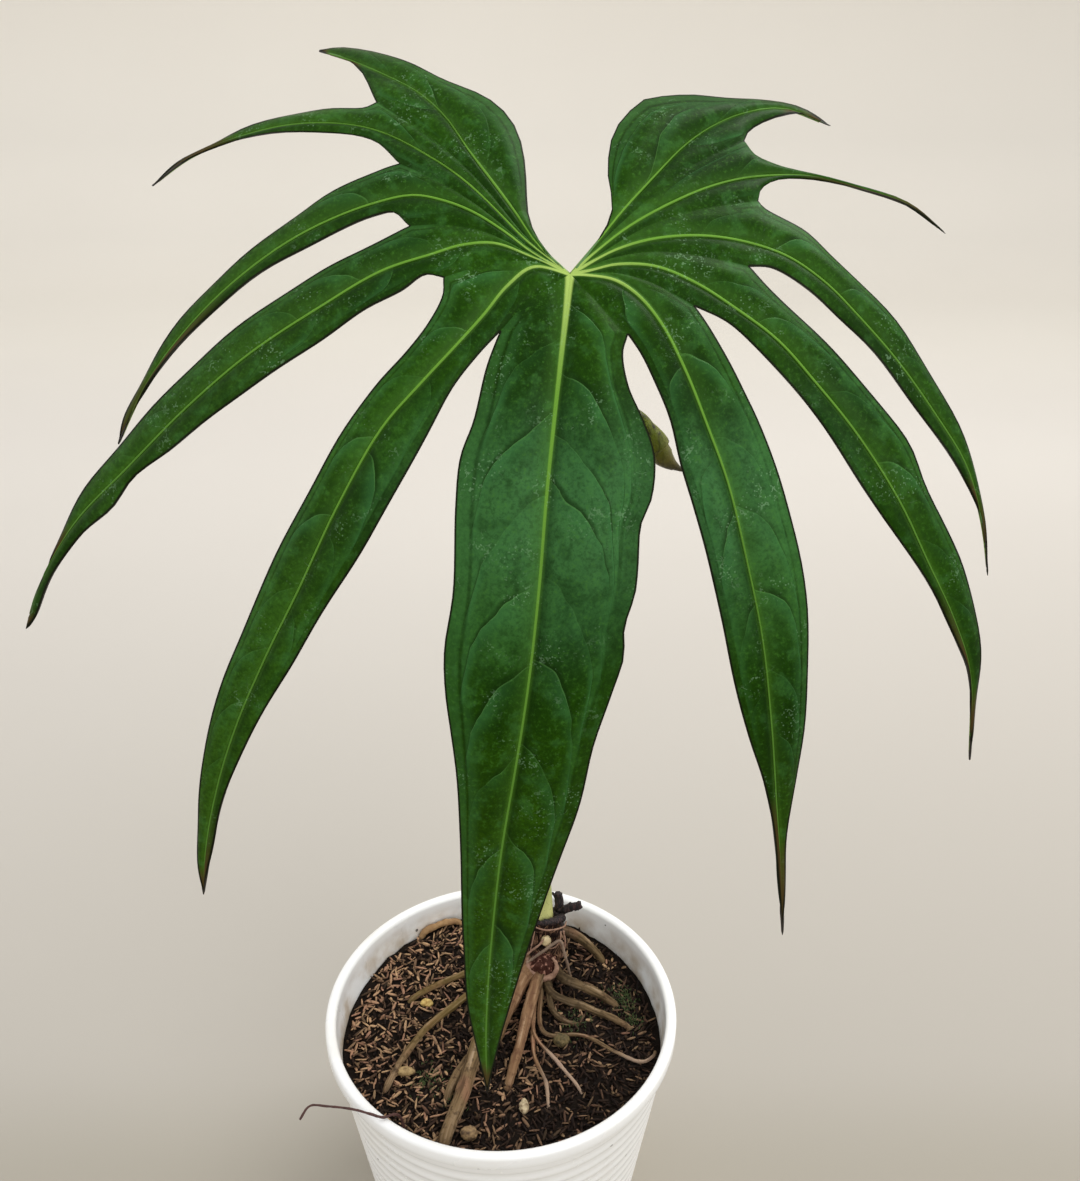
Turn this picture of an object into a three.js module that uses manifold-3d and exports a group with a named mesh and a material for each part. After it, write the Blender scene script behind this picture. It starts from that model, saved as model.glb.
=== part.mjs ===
// Potted Anthurium pedatoradiatum: one large leaf cut into eleven lobes on its own stalk, a furled
// young leaf, the upright rootstock with its surface roots, and the potting mix in a white pot.
// Millimetres, +Z up. The origin is the middle of the pot's underside. -Y is the front, where the
// middle lobe hangs down over the pot, and +X is to the right.
import * as THREE from 'three';
import { mergeVertices } from 'three/addons/utils/BufferGeometryUtils.js';
import Module from 'manifold-3d';

const wasm = await Module();
wasm.setup();

// Driving dimensions
const GAP = 0.3; // between pieces that touch

const POT_HEIGHT = 150;
const RIM_RADIUS = 90; // outside of the rolled lip
const LIP_DEPTH = 8; // height of the lip's outer band
const WALL = 2; // thickness of the wall and of the floor's plain part
const FLOOR = 3;
const NECK_RADIUS = 87; // outside, just under the lip
const FOOT_RADIUS = 67; // outside, at the underside
const MOUTH_RADIUS = 84.5; // inside of the lip
const DRAIN_HOLES = 6;
const DRAIN_RADIUS = 4;
const DRAIN_CIRCLE = 45; // radius of the circle that the holes stand on
const POT_SIDES = 56;

const SOIL_LEVEL = 128; // at the pot's wall
const SOIL_MOUND = 3; // rise towards the middle
const SOIL_HEAP = 7; // further rise at the back wall
const MIX_SIDES = 36;
const HUSKS = 88;
const HUSK_SIZE = [15, 5, 5]; // length, width, height, over twice life size
const MOST_PITCH = 0.25; // of a husk from level, in radians

const BLADE_THICKNESS = 0.8;
const RIB_DEPTH = 1.4; // how far the middle rib stands out below the blade
const PETIOLE_END = [31.5, 20, 519.5]; // where the lobes meet
const BLADE_TILT = THREE.MathUtils.degToRad(42); // from the vertical, where the lobes meet
const TIP_TILT = THREE.MathUtils.degToRad(3); // from the vertical, at the hanging tips
const FALL_RADIUS = 300; // of the bend of the hanging part
const RISE_RADIUS = 500; // of the bend of the part above the petiole
const SIDE_RADIUS = 450; // of the bend towards the back, to the left and right

// Colours
const WHITE_PLASTIC = new THREE.MeshStandardMaterial({ color: 0xeceae4, roughness: 0.4 });
const MIX_BROWN = new THREE.MeshStandardMaterial({ color: 0x3a2a1e, roughness: 0.95 });
const LEAF_GREEN = new THREE.MeshStandardMaterial({ color: 0x1f5a2a, roughness: 0.35 });
const STALK_GREEN = new THREE.MeshStandardMaterial({ color: 0x6f8f3a, roughness: 0.5 });
const YOUNG_OLIVE = new THREE.MeshStandardMaterial({ color: 0x6b6a1f, roughness: 0.4 });
const ROOT_TAN = new THREE.MeshStandardMaterial({ color: 0x8c785a, roughness: 0.85 });
const DRY_BROWN = new THREE.MeshStandardMaterial({ color: 0x2b1d16, roughness: 0.9 });
const PEBBLE_TAN = new THREE.MeshStandardMaterial({ color: 0xa98f5c, roughness: 0.8 });

const vector = (point) => new THREE.Vector3(...point);

// Seeded random numbers from 0 to 1, the same on each run.
function seeded(seed) {
  let state = seed;
  return () => {
    state = (state * 1664525 + 1013904223) % 4294967296;
    return state / 4294967296;
  };
}

// A closed solid from points and triangles; triangles that have lost a corner are dropped.
function solidFrom(positions, triangles) {
  const kept = [];
  for (const [a, b, c] of triangles) if (a !== b && b !== c && c !== a) kept.push(a, b, c);
  const mesh = new wasm.Mesh({
    numProp: 3,
    vertProperties: Float32Array.from(positions.flat()),
    triVerts: Uint32Array.from(kept),
  });
  return new wasm.Manifold(mesh);
}

// The solid of a closed three.js geometry.
function solidOf(geometry) {
  const bare = geometry.index ? geometry.toNonIndexed() : geometry.clone();
  bare.deleteAttribute('normal');
  bare.deleteAttribute('uv');
  const { attributes, index } = mergeVertices(bare, 1e-4);
  const positions = [];
  for (let i = 0; i < attributes.position.count; i++) {
    positions.push(vector([0, 1, 2].map((axis) => attributes.position.getComponent(i, axis))).toArray());
  }
  const triangles = [];
  for (let i = 0; i < index.count; i += 3) {
    triangles.push([index.getX(i), index.getX(i + 1), index.getX(i + 2)]);
  }
  return solidFrom(positions, triangles);
}

// A boolean can leave crumbs; the piece is the largest body.
function largest(solid) {
  return solid.decompose().sort((a, b) => b.volume() - a.volume())[0];
}

function meshOf(solid, name, material) {
  const { vertProperties, triVerts } = solid.getMesh();
  const geometry = new THREE.BufferGeometry();
  geometry.setAttribute('position', new THREE.BufferAttribute(new Float32Array(vertProperties), 3));
  geometry.setIndex(new THREE.BufferAttribute(new Uint32Array(triVerts), 1));
  geometry.computeVertexNormals();
  const mesh = new THREE.Mesh(geometry, material);
  mesh.name = name;
  return mesh;
}

// A turned solid: the profile's points are [radius, height], listed up the outside.
function turned(profile, sides) {
  const points = profile.map(([radius, height]) => new THREE.Vector2(radius, height));
  return solidOf(new THREE.LatheGeometry(points, sides).rotateX(Math.PI / 2));
}

// A round stalk or root along a smooth path. Its radii are spaced evenly from start to end. grow
// makes it fatter and longer all round, for cutting its seat.
function stalk({ path, radii, sides = 6, steps = 8 }, grow = 0) {
  const curve = new THREE.CatmullRomCurve3(path.map(vector));
  const { tangents, normals, binormals } = curve.computeFrenetFrames(steps, false);
  const positions = [];
  const triangles = [];
  for (let i = 0; i <= steps; i++) {
    const along = (i / steps) * (radii.length - 1);
    const k = Math.min(Math.floor(along), radii.length - 2);
    const radius = radii[k] + (radii[k + 1] - radii[k]) * (along - k) + grow;
    const end = i === 0 ? -grow : i === steps ? grow : 0;
    const centre = curve.getPointAt(i / steps).addScaledVector(tangents[i], end);
    for (let s = 0; s < sides; s++) {
      const turn = (2 * Math.PI * s) / sides;
      const point = centre.clone();
      point.addScaledVector(normals[i], radius * Math.cos(turn));
      point.addScaledVector(binormals[i], radius * Math.sin(turn));
      positions.push(point.toArray());
    }
  }
  for (let i = 0; i < steps; i++) {
    for (let s = 0; s < sides; s++) {
      const a = i * sides + s;
      const b = i * sides + ((s + 1) % sides);
      triangles.push([a, b, b + sides], [a, b + sides, a + sides]);
    }
  }
  const last = steps * sides;
  for (let s = 1; s < sides - 1; s++) {
    triangles.push([0, s + 1, s], [last, last + s, last + s + 1]);
  }
  return solidFrom(positions, triangles);
}

const stalks = (list, grow = 0) => list.map((one) => stalk(one, grow)).reduce((sum, one) => sum.add(one));

// Pot: a tapered wall with a rolled lip, a plain floor and drain holes. The profile runs along the
// underside, up the outside, over the lip and down the inside.
const innerRadius = (height) =>
  FOOT_RADIUS - WALL + ((NECK_RADIUS - FOOT_RADIUS) * height) / (POT_HEIGHT - LIP_DEPTH);

function potSolid() {
  const profile = [
    [0, 0],
    [FOOT_RADIUS - 1.5, 0],
    [FOOT_RADIUS, 1.5],
    [NECK_RADIUS, POT_HEIGHT - LIP_DEPTH],
    [RIM_RADIUS - 0.8, POT_HEIGHT - LIP_DEPTH],
    [RIM_RADIUS, POT_HEIGHT - LIP_DEPTH + 1],
    [RIM_RADIUS, POT_HEIGHT - 1.5],
    [RIM_RADIUS - 1.2, POT_HEIGHT - 0.3],
    [RIM_RADIUS - 2.5, POT_HEIGHT],
    [MOUTH_RADIUS + 1, POT_HEIGHT - 0.4],
    [MOUTH_RADIUS, POT_HEIGHT - 2],
    [innerRadius(POT_HEIGHT - LIP_DEPTH), POT_HEIGHT - LIP_DEPTH],
    [innerRadius(FLOOR + 2), FLOOR + 2],
    [innerRadius(FLOOR + 2) - 2, FLOOR],
    [0, FLOOR],
  ];
  let pot = turned(profile, POT_SIDES);
  for (let i = 0; i < DRAIN_HOLES; i++) {
    const turn = (2 * Math.PI * i) / DRAIN_HOLES;
    const hole = new THREE.CylinderGeometry(DRAIN_RADIUS, DRAIN_RADIUS, 4 * FLOOR, 16).rotateX(Math.PI / 2);
    hole.translate(DRAIN_CIRCLE * Math.cos(turn), DRAIN_CIRCLE * Math.sin(turn), 0);
    pot = pot.subtract(solidOf(hole));
  }
  return pot;
}

// Rootstock: an upright stem, a rounded old bud, and roots that run out over the mix and dive into it.
const STEM = {
  path: [[22, 38, 112], [22, 39, 135], [23, 42, 155], [23, 43, 172]],
  radii: [7, 8.5, 8, 6.5],
  sides: 10,
  steps: 5,
};
const BUD = {
  path: [[23, 41, 144], [24, 34, 142], [24, 30, 141]],
  radii: [4.5, 4.5, 2.5],
  sides: 8,
  steps: 3,
};
const ROOTS = [
  {
    path: [[16, 36, 143], [-1, 10, 143], [-11, -15, 139], [-18, -41, 135], [-25, -63, 130], [-27, -68, 118]],
    radii: [4.5, 4.2, 4, 3.6, 3.2],
    sides: 8,
  },
  {
    path: [[14, 34, 140], [-6, -4, 139], [-13, -17, 136], [-24, -36, 133], [-28, -46, 118]],
    radii: [3, 2.5, 2.4, 2],
  },
  {
    path: [[21, 36, 142], [15, 9, 141], [10, -12, 137], [4, -34, 130], [2, -39, 118]],
    radii: [3.6, 3.2, 2.6, 2],
    sides: 8,
  },
  {
    path: [[17, 36, 142], [9, 22, 142], [1, 3, 137], [-4, -6, 130], [-6, -10, 118]],
    radii: [5, 4.6, 3.8, 3],
    sides: 8,
  },
  {
    path: [[16, 40, 142], [-2, 33, 140], [-19, 16, 139], [-41, -5, 135], [-56, -33, 130], [-60, -38, 118]],
    radii: [2.4, 2, 1.9, 1.7],
    steps: 9,
  },
  {
    path: [[16, 41, 138], [-2, 40, 137], [-22, 36, 134], [-49, 22, 130], [-55, 19, 118]],
    radii: [2.2, 2, 1.8, 1.5],
  },
  {
    path: [[25, 38, 142], [31, 28, 141], [47, 21, 138], [59, 18, 131], [64, 18, 118]],
    radii: [3.2, 2.8, 2.6, 2.2],
  },
  {
    path: [[23, 36, 138], [26, 19, 138], [46, 10, 136], [66, 3, 130], [70, 2, 118]],
    radii: [2.8, 2.4, 2.2, 1.8],
  },
  {
    path: [[24, 36, 137], [27, 8, 136], [36, 2, 134], [48, 6, 130], [52, 8, 118]],
    radii: [2, 1.8, 1.6, 1.4],
    sides: 5,
  },
  {
    path: [
      [22, 36, 137], [22, -5, 135], [42, -6, 134], [59, -16, 133],
      [72, -21, 132], [78, -17, 132], [79, -14, 131],
    ],
    radii: [1.8, 1.4, 1.2, 1],
    sides: 5,
    steps: 11,
  },
  {
    path: [[20, 36, 138], [17, -8, 138], [29, -24, 135], [40, -37, 130], [43, -41, 120]],
    radii: [1.6, 1.2, 0.9],
    sides: 5,
  },
  {
    path: [[18, 34, 137], [17, -20, 136], [23, -35, 133], [24, -46, 129], [25, -49, 120]],
    radii: [1.8, 1.3, 1],
    sides: 5,
  },
  {
    path: [[24, 46, 144], [28, 58, 145], [36, 59, 143], [52, 50, 135], [57, 47, 120]],
    radii: [3, 2.6, 2.4, 2],
  },
];

// Dry remains of old leaf stalks round the top of the stem, and two dead rootlets: one arches over
// the stem's foot, the other lies across the pot's rim.
const DRY_SHEATH = [
  { path: [[27.5, 44, 158], [29, 45, 166], [30, 46, 172]], radii: [4, 4.6, 3.6], sides: 8, steps: 4 },
  { path: [[30, 46.5, 167], [31, 48, 174], [31.5, 49, 179]], radii: [2.8, 2.6, 2.2], sides: 6, steps: 3 },
  { path: [[30, 45, 167], [36, 44, 170], [42, 44, 173.5]], radii: [2.4, 2.8, 3], sides: 8, steps: 3 },
];
const DRY_ROOTLET = {
  path: [[13, 34, 141], [20, 35, 151], [28, 36, 156], [34, 34, 147], [38, 33, 126]],
  radii: [0.7, 0.8, 0.8, 0.7],
  sides: 5,
  steps: 12,
};
const STRAY_ROOTLET = {
  path: [
    [-92, -69, 149.5], [-88, -64, 152.6], [-80, -64, 152.6], [-67, -65.5, 152.2],
    [-60, -67.5, 152], [-53, -69.5, 151.9], [-48.5, -66, 149.5], [-46, -62, 142], [-45, -60, 122],
  ],
  radii: [0.6, 0.7, 0.8, 0.9, 0.9],
  sides: 5,
  steps: 14,
};

// Leaf stalks. The petiole is swollen at its base and has a short thicker joint under the blade.
const PETIOLE = {
  path: [
    [22, 42, 164], [22, 43, 180], [24, 48, 250], [29, 47, 380],
    [32, 38, 470], [32, 29, 505], [31.5, 20.5, 518],
  ],
  radii: [5.4, 3, 2.7, 2.6, 2.5, 2.5, 2.5, 2.5, 2.6, 3.2, 3],
  sides: 10,
  steps: 24,
};
const YOUNG_PETIOLE = {
  path: [
    [17, 47, 148], [15, 50, 160], [13.5, 52, 180], [17, 59, 250],
    [28, 60, 340], [42, 50, 410], [53, 38, 448], [57, 31.5, 458],
  ],
  radii: [3.2, 2.4, 2, 1.9, 1.8, 1.8, 1.9],
  sides: 8,
  steps: 18,
};
const YOUNG_LEAF = {
  path: [
    [56.5, 32.5, 457.5], [58.5, 29.5, 459.5], [61.5, 28.5, 457.5], [65.5, 28, 451.5],
    [69, 28, 444.5], [72.5, 28, 439], [76.5, 28, 436.5], [80.5, 28, 434.5],
  ],
  radii: [1.6, 2.7, 3.6, 4.5, 4.7, 3.6, 1.3, 0.6],
  sides: 8,
  steps: 14,
};

// Pebbles and lumps that lie on the mix: centre and half sizes.
const PEBBLES = {
  pebble_brown: { centre: [-14, -62, 131], half: [4.2, 3.6, 3.2] },
  pebble_chunk: { centre: [-48, -26, 131], half: [4.6, 2.6, 2.6] },
  pebble_yellow: { centre: [-41, 18, 131.5], half: [3.4, 2.4, 2.2] },
  pebble_pale: { centre: [12, -47, 131.5], half: [2.4, 4.2, 2.2] },
  pebble_lump: { centre: [31, -8, 133], half: [4.4, 3.8, 3] },
};

function pebbleSolid({ centre, half }, grow = 0) {
  const geometry = new THREE.IcosahedronGeometry(1, 1);
  geometry.scale(...half.map((size) => size + grow)).translate(...centre);
  return solidOf(geometry);
}

// Potting mix: a plug that fills the pot up to a low mound, heaped at the back and covered with
// husks. Each husk is a stretched octahedron sunk to its middle. They follow a sunflower spiral, with
// seeded turns.
const mixSide = (height) => innerRadius(height) - GAP;

function mixHeight(x, y) {
  const span = mixSide(SOIL_LEVEL);
  const heap = SOIL_HEAP * (Math.max(0, y) / span) ** 1.5;
  return SOIL_LEVEL + heap + SOIL_MOUND * Math.max(0, 1 - (x * x + y * y) / span ** 2);
}

function mixSolid() {
  const bottom = FLOOR + GAP;
  const wall = [[0, bottom], [mixSide(FLOOR + 2) - 2, bottom], [mixSide(FLOOR + 2), FLOOR + 2]];
  const rings = [1, 0.7, 0.4, 0].map((part) => [part * mixSide(SOIL_LEVEL), SOIL_LEVEL]);
  const profile = [...wall, ...rings].map(([radius, height]) => new THREE.Vector2(radius, height));
  const plug = new THREE.LatheGeometry(profile, MIX_SIDES).rotateX(Math.PI / 2);
  const corners = plug.getAttribute('position');
  for (let i = 0; i < corners.count; i++) {
    if (corners.getZ(i) < SOIL_LEVEL - 1) continue;
    corners.setZ(i, mixHeight(corners.getX(i), corners.getY(i)));
  }
  const random = seeded(7);
  const husks = [];
  const goldenAngle = Math.PI * (3 - Math.sqrt(5));
  for (let i = 0; i < HUSKS; i++) {
    const radius = mixSide(SOIL_LEVEL) * Math.sqrt((i + 0.5) / HUSKS);
    const [x, y] = [radius * Math.cos(i * goldenAngle), radius * Math.sin(i * goldenAngle)];
    const husk = new THREE.OctahedronGeometry(0.5).scale(...HUSK_SIZE);
    husk.rotateX((random() - 0.5) * 2 * MOST_PITCH);
    husk.rotateY((random() - 0.5) * 2 * MOST_PITCH);
    husk.rotateZ(random() * Math.PI);
    husk.translate(x, y, mixHeight(x, y) + random());
    husks.push(solidOf(husk));
  }
  const mix = wasm.Manifold.union([solidOf(plug), ...husks]);
  const under = POT_HEIGHT - LIP_DEPTH;
  return mix.intersect(turned([...wall, [mixSide(under), under], [0, under]], MIX_SIDES));
}

// Leaf blade. It is drawn flat first: [right, up] from the point where the lobes meet, in
// millimetres along the blade. Going round from the left side of the upper notch, lobe follows lobe.
// rib is the lobe's middle rib; before and after are its two edges, from the notch on that side to
// the tip. foldBack is how far the tip leans back out of the common surface.
const TIP = { // lobe tips
  left_1: [-107, 108], left_2: [-181, 27], left_3: [-189, -88], left_4: [-236, -170], left_5: [-161, -279],
  middle: [-36, -377],
  right_5: [95, -291], right_4: [178, -224], right_3: [177, -140], right_2: [158, 8], right_1: [109, 66],
};

// The web between two neighbouring lobes, from the meeting point to the bottom of the notch.
const WEBS = [
  [[-16, 14.5], [-33, 38], [-47, 54], [-63, 68], [-79, 80]],
  [[-17, 12.5], [-36, 30], [-52, 41], [-68, 49]],
  [[-16, 9], [-33, 18], [-48, 21], [-63, 20]],
  [[-14, 5.5], [-26, 5], [-38, 2], [-49, -2]],
  [[-14, -9], [-27, -24]],
  [[10, -11], [22, -25]],
  [[17, 0.5], [32, -4], [48, -14]],
  [[17, 7], [33, 9.5], [52, 7], [70, 2]],
  [[15, 11], [33, 22], [52, 28], [75, 31]],
  [[12, 13.5], [28, 30], [48, 47], [71, 60]],
];

const LOBES = [
  {
    tip: TIP.left_1, foldBack: 9, startFold: 110, stations: 8,
    rib: [[-13, 13.5], [-20, 25], [-29, 39], [-40, 56], [-50, 73], [-62, 86], [-76, 95], [-92, 103]],
    before: [
      [-4.5, 4], [-9.5, 10.5], [-14, 18.5], [-16.5, 28], [-17, 41], [-18.5, 57], [-21.5, 68],
      [-26.5, 77], [-35, 85.5], [-53, 95], [-71, 105], [-85, 110], [-97, 111],
    ],
    after: [[-81, 85], [-87, 98], [-96, 106]],
  },
  {
    tip: TIP.left_2, foldBack: 25, startFold: 110, stations: 10,
    rib: [
      [-17, 14.5], [-28, 27], [-40, 40], [-52, 50], [-75, 64], [-92, 68], [-112, 67], [-134, 60],
      [-160, 46],
    ],
    before: [[-84, 77], [-101, 76], [-116, 72], [-134, 64], [-150, 54], [-166, 43]],
    after: [[-72, 54], [-77, 59], [-87, 63], [-103, 64], [-125, 61], [-150, 52], [-166, 41]],
  },
  {
    tip: TIP.left_3, foldBack: 18, startFold: 95, stations: 13,
    rib: [
      [-15, 9.5], [-25, 18], [-38, 27], [-50, 32], [-62, 34], [-77, 30], [-96, 21], [-114, 9],
      [-136, -11], [-156, -34], [-173, -58],
    ],
    before: [
      [-75, 46], [-96, 34], [-108, 24], [-121, 12], [-136, -3], [-153, -22], [-166, -41],
      [-177, -60], [-185, -75],
    ],
    after: [
      [-69, 26], [-77, 24], [-89, 18], [-104, 9], [-120, -2], [-136, -16], [-152, -33],
      [-169, -54], [-181, -72],
    ],
  },
  {
    tip: TIP.left_4, foldBack: 0, startFold: 95, stations: 14,
    rib: [
      [-15, 7.5], [-29, 13], [-42, 12], [-53, 8], [-73, 0], [-98, -17], [-126, -38], [-152, -62],
      [-178, -89], [-205, -117], [-227, -150],
    ],
    before: [
      [-81, 9], [-99, -2], [-119, -17], [-141, -36], [-163, -59], [-184, -83], [-201, -104],
      [-215, -128], [-228, -154],
    ],
    after: [
      [-56, -1], [-65, -8], [-80, -17], [-98, -31], [-118, -46], [-140, -63], [-158, -79],
      [-176, -93], [-186, -107], [-202, -121], [-217, -140], [-230, -163],
    ],
  },
  {
    tip: TIP.left_5, foldBack: -7, startFold: 95, stations: 14,
    rib: [
      [-14, 3], [-24, -5], [-33, -17], [-43, -29], [-57, -45], [-72, -63], [-90, -95],
      [-106, -128], [-121, -157], [-136, -189], [-148, -221], [-157, -254],
    ],
    before: [
      [-49, -9], [-54, -20], [-63, -33], [-75, -47], [-87, -64], [-99, -86], [-112, -109],
      [-122, -130], [-131, -149], [-140, -169], [-149, -193], [-154, -212], [-159, -238],
      [-162, -262],
    ],
    after: [
      [-35, -33], [-44, -45], [-53, -62], [-63, -80], [-78, -107], [-94, -132], [-109, -157],
      [-123, -180], [-137, -206], [-147, -230], [-155, -257],
    ],
  },
  {
    tip: TIP.middle, foldBack: 0, startFold: 60, stations: 18,
    rib: [
      [-2, -20], [-5, -47], [-9, -86], [-12, -123], [-16, -160], [-21, -195], [-28, -242],
      [-34, -305], [-36, -345],
    ],
    before: [
      [-32, -38], [-37, -59], [-42, -73], [-44, -92], [-45, -124], [-49, -148], [-49, -163],
      [-47, -184], [-45, -211], [-45, -285], [-44, -323], [-41, -346],
    ],
    after: [
      [20, -32], [22, -45], [28, -59], [32, -72], [31, -88], [27, -98], [26, -113], [25, -124],
      [21, -138], [21, -150], [17, -163], [10, -186], [5, -213], [-2, -238], [-11, -269],
      [-23, -315], [-31, -350],
    ],
  },
  {
    tip: TIP.right_5, foldBack: 0, startFold: 95, stations: 14,
    rib: [
      [7, -0.5], [17, -2.5], [26, -9], [35, -21], [44, -40], [52, -61], [60, -83], [68, -114],
      [75, -144], [81, -182], [86, -219], [91, -255],
    ],
    before: [
      [27, -33], [32, -44], [38, -59], [42, -76], [47, -93], [53, -113], [64, -159], [72, -187],
      [80, -209], [85, -229], [90, -258],
    ],
    after: [
      [53, -22], [60, -35], [66, -47], [73, -62], [84, -94], [90, -116], [94, -145], [95, -180],
      [94, -208], [92, -236], [94, -264],
    ],
  },
  {
    tip: TIP.right_4, foldBack: 9, startFold: 95, stations: 14,
    rib: [
      [8, 1.5], [18, 4], [33, 3], [48, -4], [62, -14], [80, -29], [95, -47], [112, -69],
      [130, -97], [143, -122], [157, -148], [169, -176],
    ],
    before: [
      [62, -22], [83, -45], [98, -64], [113, -88], [131, -113], [148, -138], [161, -162],
      [168, -176], [174, -199],
    ],
    after: [
      [77, -7], [94, -25], [108, -41], [122, -58], [134, -75], [141, -91], [151, -110],
      [161, -130], [168, -148], [173, -168], [175, -190],
    ],
  },
  {
    tip: TIP.right_3, foldBack: 15, startFold: 95, stations: 12,
    rib: [
      [8, 5], [18, 10.5], [33, 15], [51, 16], [68, 13], [85, 6], [100, -6], [113, -21], [129, -41],
      [145, -64], [161, -89], [171, -116],
    ],
    before: [[79, 1], [93, -9], [105, -21], [117, -34], [131, -53], [147, -75], [160, -94], [170, -112]],
    after: [
      [77, 28], [93, 17], [103, 6], [115, -7], [128, -23], [139, -40], [149, -57], [159, -76],
      [167, -96], [173, -119],
    ],
  },
  {
    tip: TIP.right_2, foldBack: 15, startFold: 95, stations: 10,
    rib: [[11, 10.5], [23, 20.5], [40, 31], [58, 39], [75, 42.5], [99, 41.5], [121, 33.5], [141, 24]],
    before: [[76, 36], [83, 40.5], [99, 40.7], [121, 32.7], [141, 23.2]],
    after: [[75, 53], [85, 47.5], [99, 42.7], [121, 34.3], [141, 25]],
  },
  {
    tip: TIP.right_1, foldBack: 5, startFold: 95, stations: 8,
    rib: [[10, 13], [21, 28], [34, 44], [47, 59], [60, 69], [74, 75], [89, 76]],
    before: [[73, 65], [80, 70], [90, 73], [99, 73]],
    after: [
      [5, 4.5], [10, 12.5], [15, 23], [17, 31.5], [15.5, 41], [16, 55.5], [18.5, 67], [24, 76.5],
      [32, 84.5], [40, 85.5], [50, 85.5], [64, 83], [80, 82], [91, 79], [99, 74.5],
    ],
  },
];

const WEB_STATIONS = 7;
// Section of a half lobe: part of the way from rib to edge, and rise over the half width. The rib
// lies in a groove, the blade arches beside it and its edge turns down a little.
const HALF_SECTION = [[0, 0], [0.38, 0.1], [0.74, 0.05], [1, -0.03]];

// A flat point on the hanging, curved blade.
function drape([right, up], { startFold, foldBack, tip }) {
  let back;
  let rise;
  if (up > 0) {
    const tilt = BLADE_TILT + up / RISE_RADIUS;
    back = RISE_RADIUS * (Math.cos(BLADE_TILT) - Math.cos(tilt));
    rise = RISE_RADIUS * (Math.sin(tilt) - Math.sin(BLADE_TILT));
  } else {
    const tilt = Math.max(TIP_TILT, BLADE_TILT + up / FALL_RADIUS);
    const straight = -up - FALL_RADIUS * (BLADE_TILT - tilt);
    back = -FALL_RADIUS * (Math.cos(tilt) - Math.cos(BLADE_TILT)) - straight * Math.sin(tilt);
    rise = -FALL_RADIUS * (Math.sin(BLADE_TILT) - Math.sin(tilt)) - straight * Math.cos(tilt);
  }
  back += right ** 2 / (2 * SIDE_RADIUS);
  const reach = Math.hypot(right, up) - startFold;
  const fullReach = Math.hypot(...tip) - startFold;
  if (reach > 0) back += foldBack * (reach / fullReach) ** 2;
  return new THREE.Vector3(right, back, rise).add(vector(PETIOLE_END));
}

function flatCurve(points) {
  return new THREE.CatmullRomCurve3(points.map(([right, up]) => new THREE.Vector3(right, up, 0)));
}

// The part of a curve's length that comes before its closest approach to a flat point.
function nearest(curve, [right, up]) {
  const target = new THREE.Vector3(right, up, 0);
  const samples = 200;
  let best = 0;
  let least = Infinity;
  for (let i = 0; i <= samples; i++) {
    const distance = curve.getPointAt(i / samples).distanceTo(target);
    if (distance < least) {
      least = distance;
      best = i / samples;
    }
  }
  return best;
}

// Even steps from 0 to 1, made closer together at both ends.
const crowded = (part) => part - (0.5 * Math.sin(2 * Math.PI * part)) / (2 * Math.PI);

// One side line of a lobe, as a function of its station: along the web to the notch, then the edge.
function sideLine(web, edge, tip, notch) {
  if (!web) {
    const whole = flatCurve([[0, 0], ...edge, tip]);
    const turn = nearest(whole, notch);
    return (part, free) => whole.getPointAt(free ? turn + (1 - turn) * part : turn * crowded(part));
  }
  const webCurve = flatCurve([[0, 0], ...web]);
  const edgeCurve = flatCurve([web.at(-1), ...edge, tip]);
  return (part, free) => (free ? edgeCurve : webCurve).getPointAt(part);
}

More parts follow.
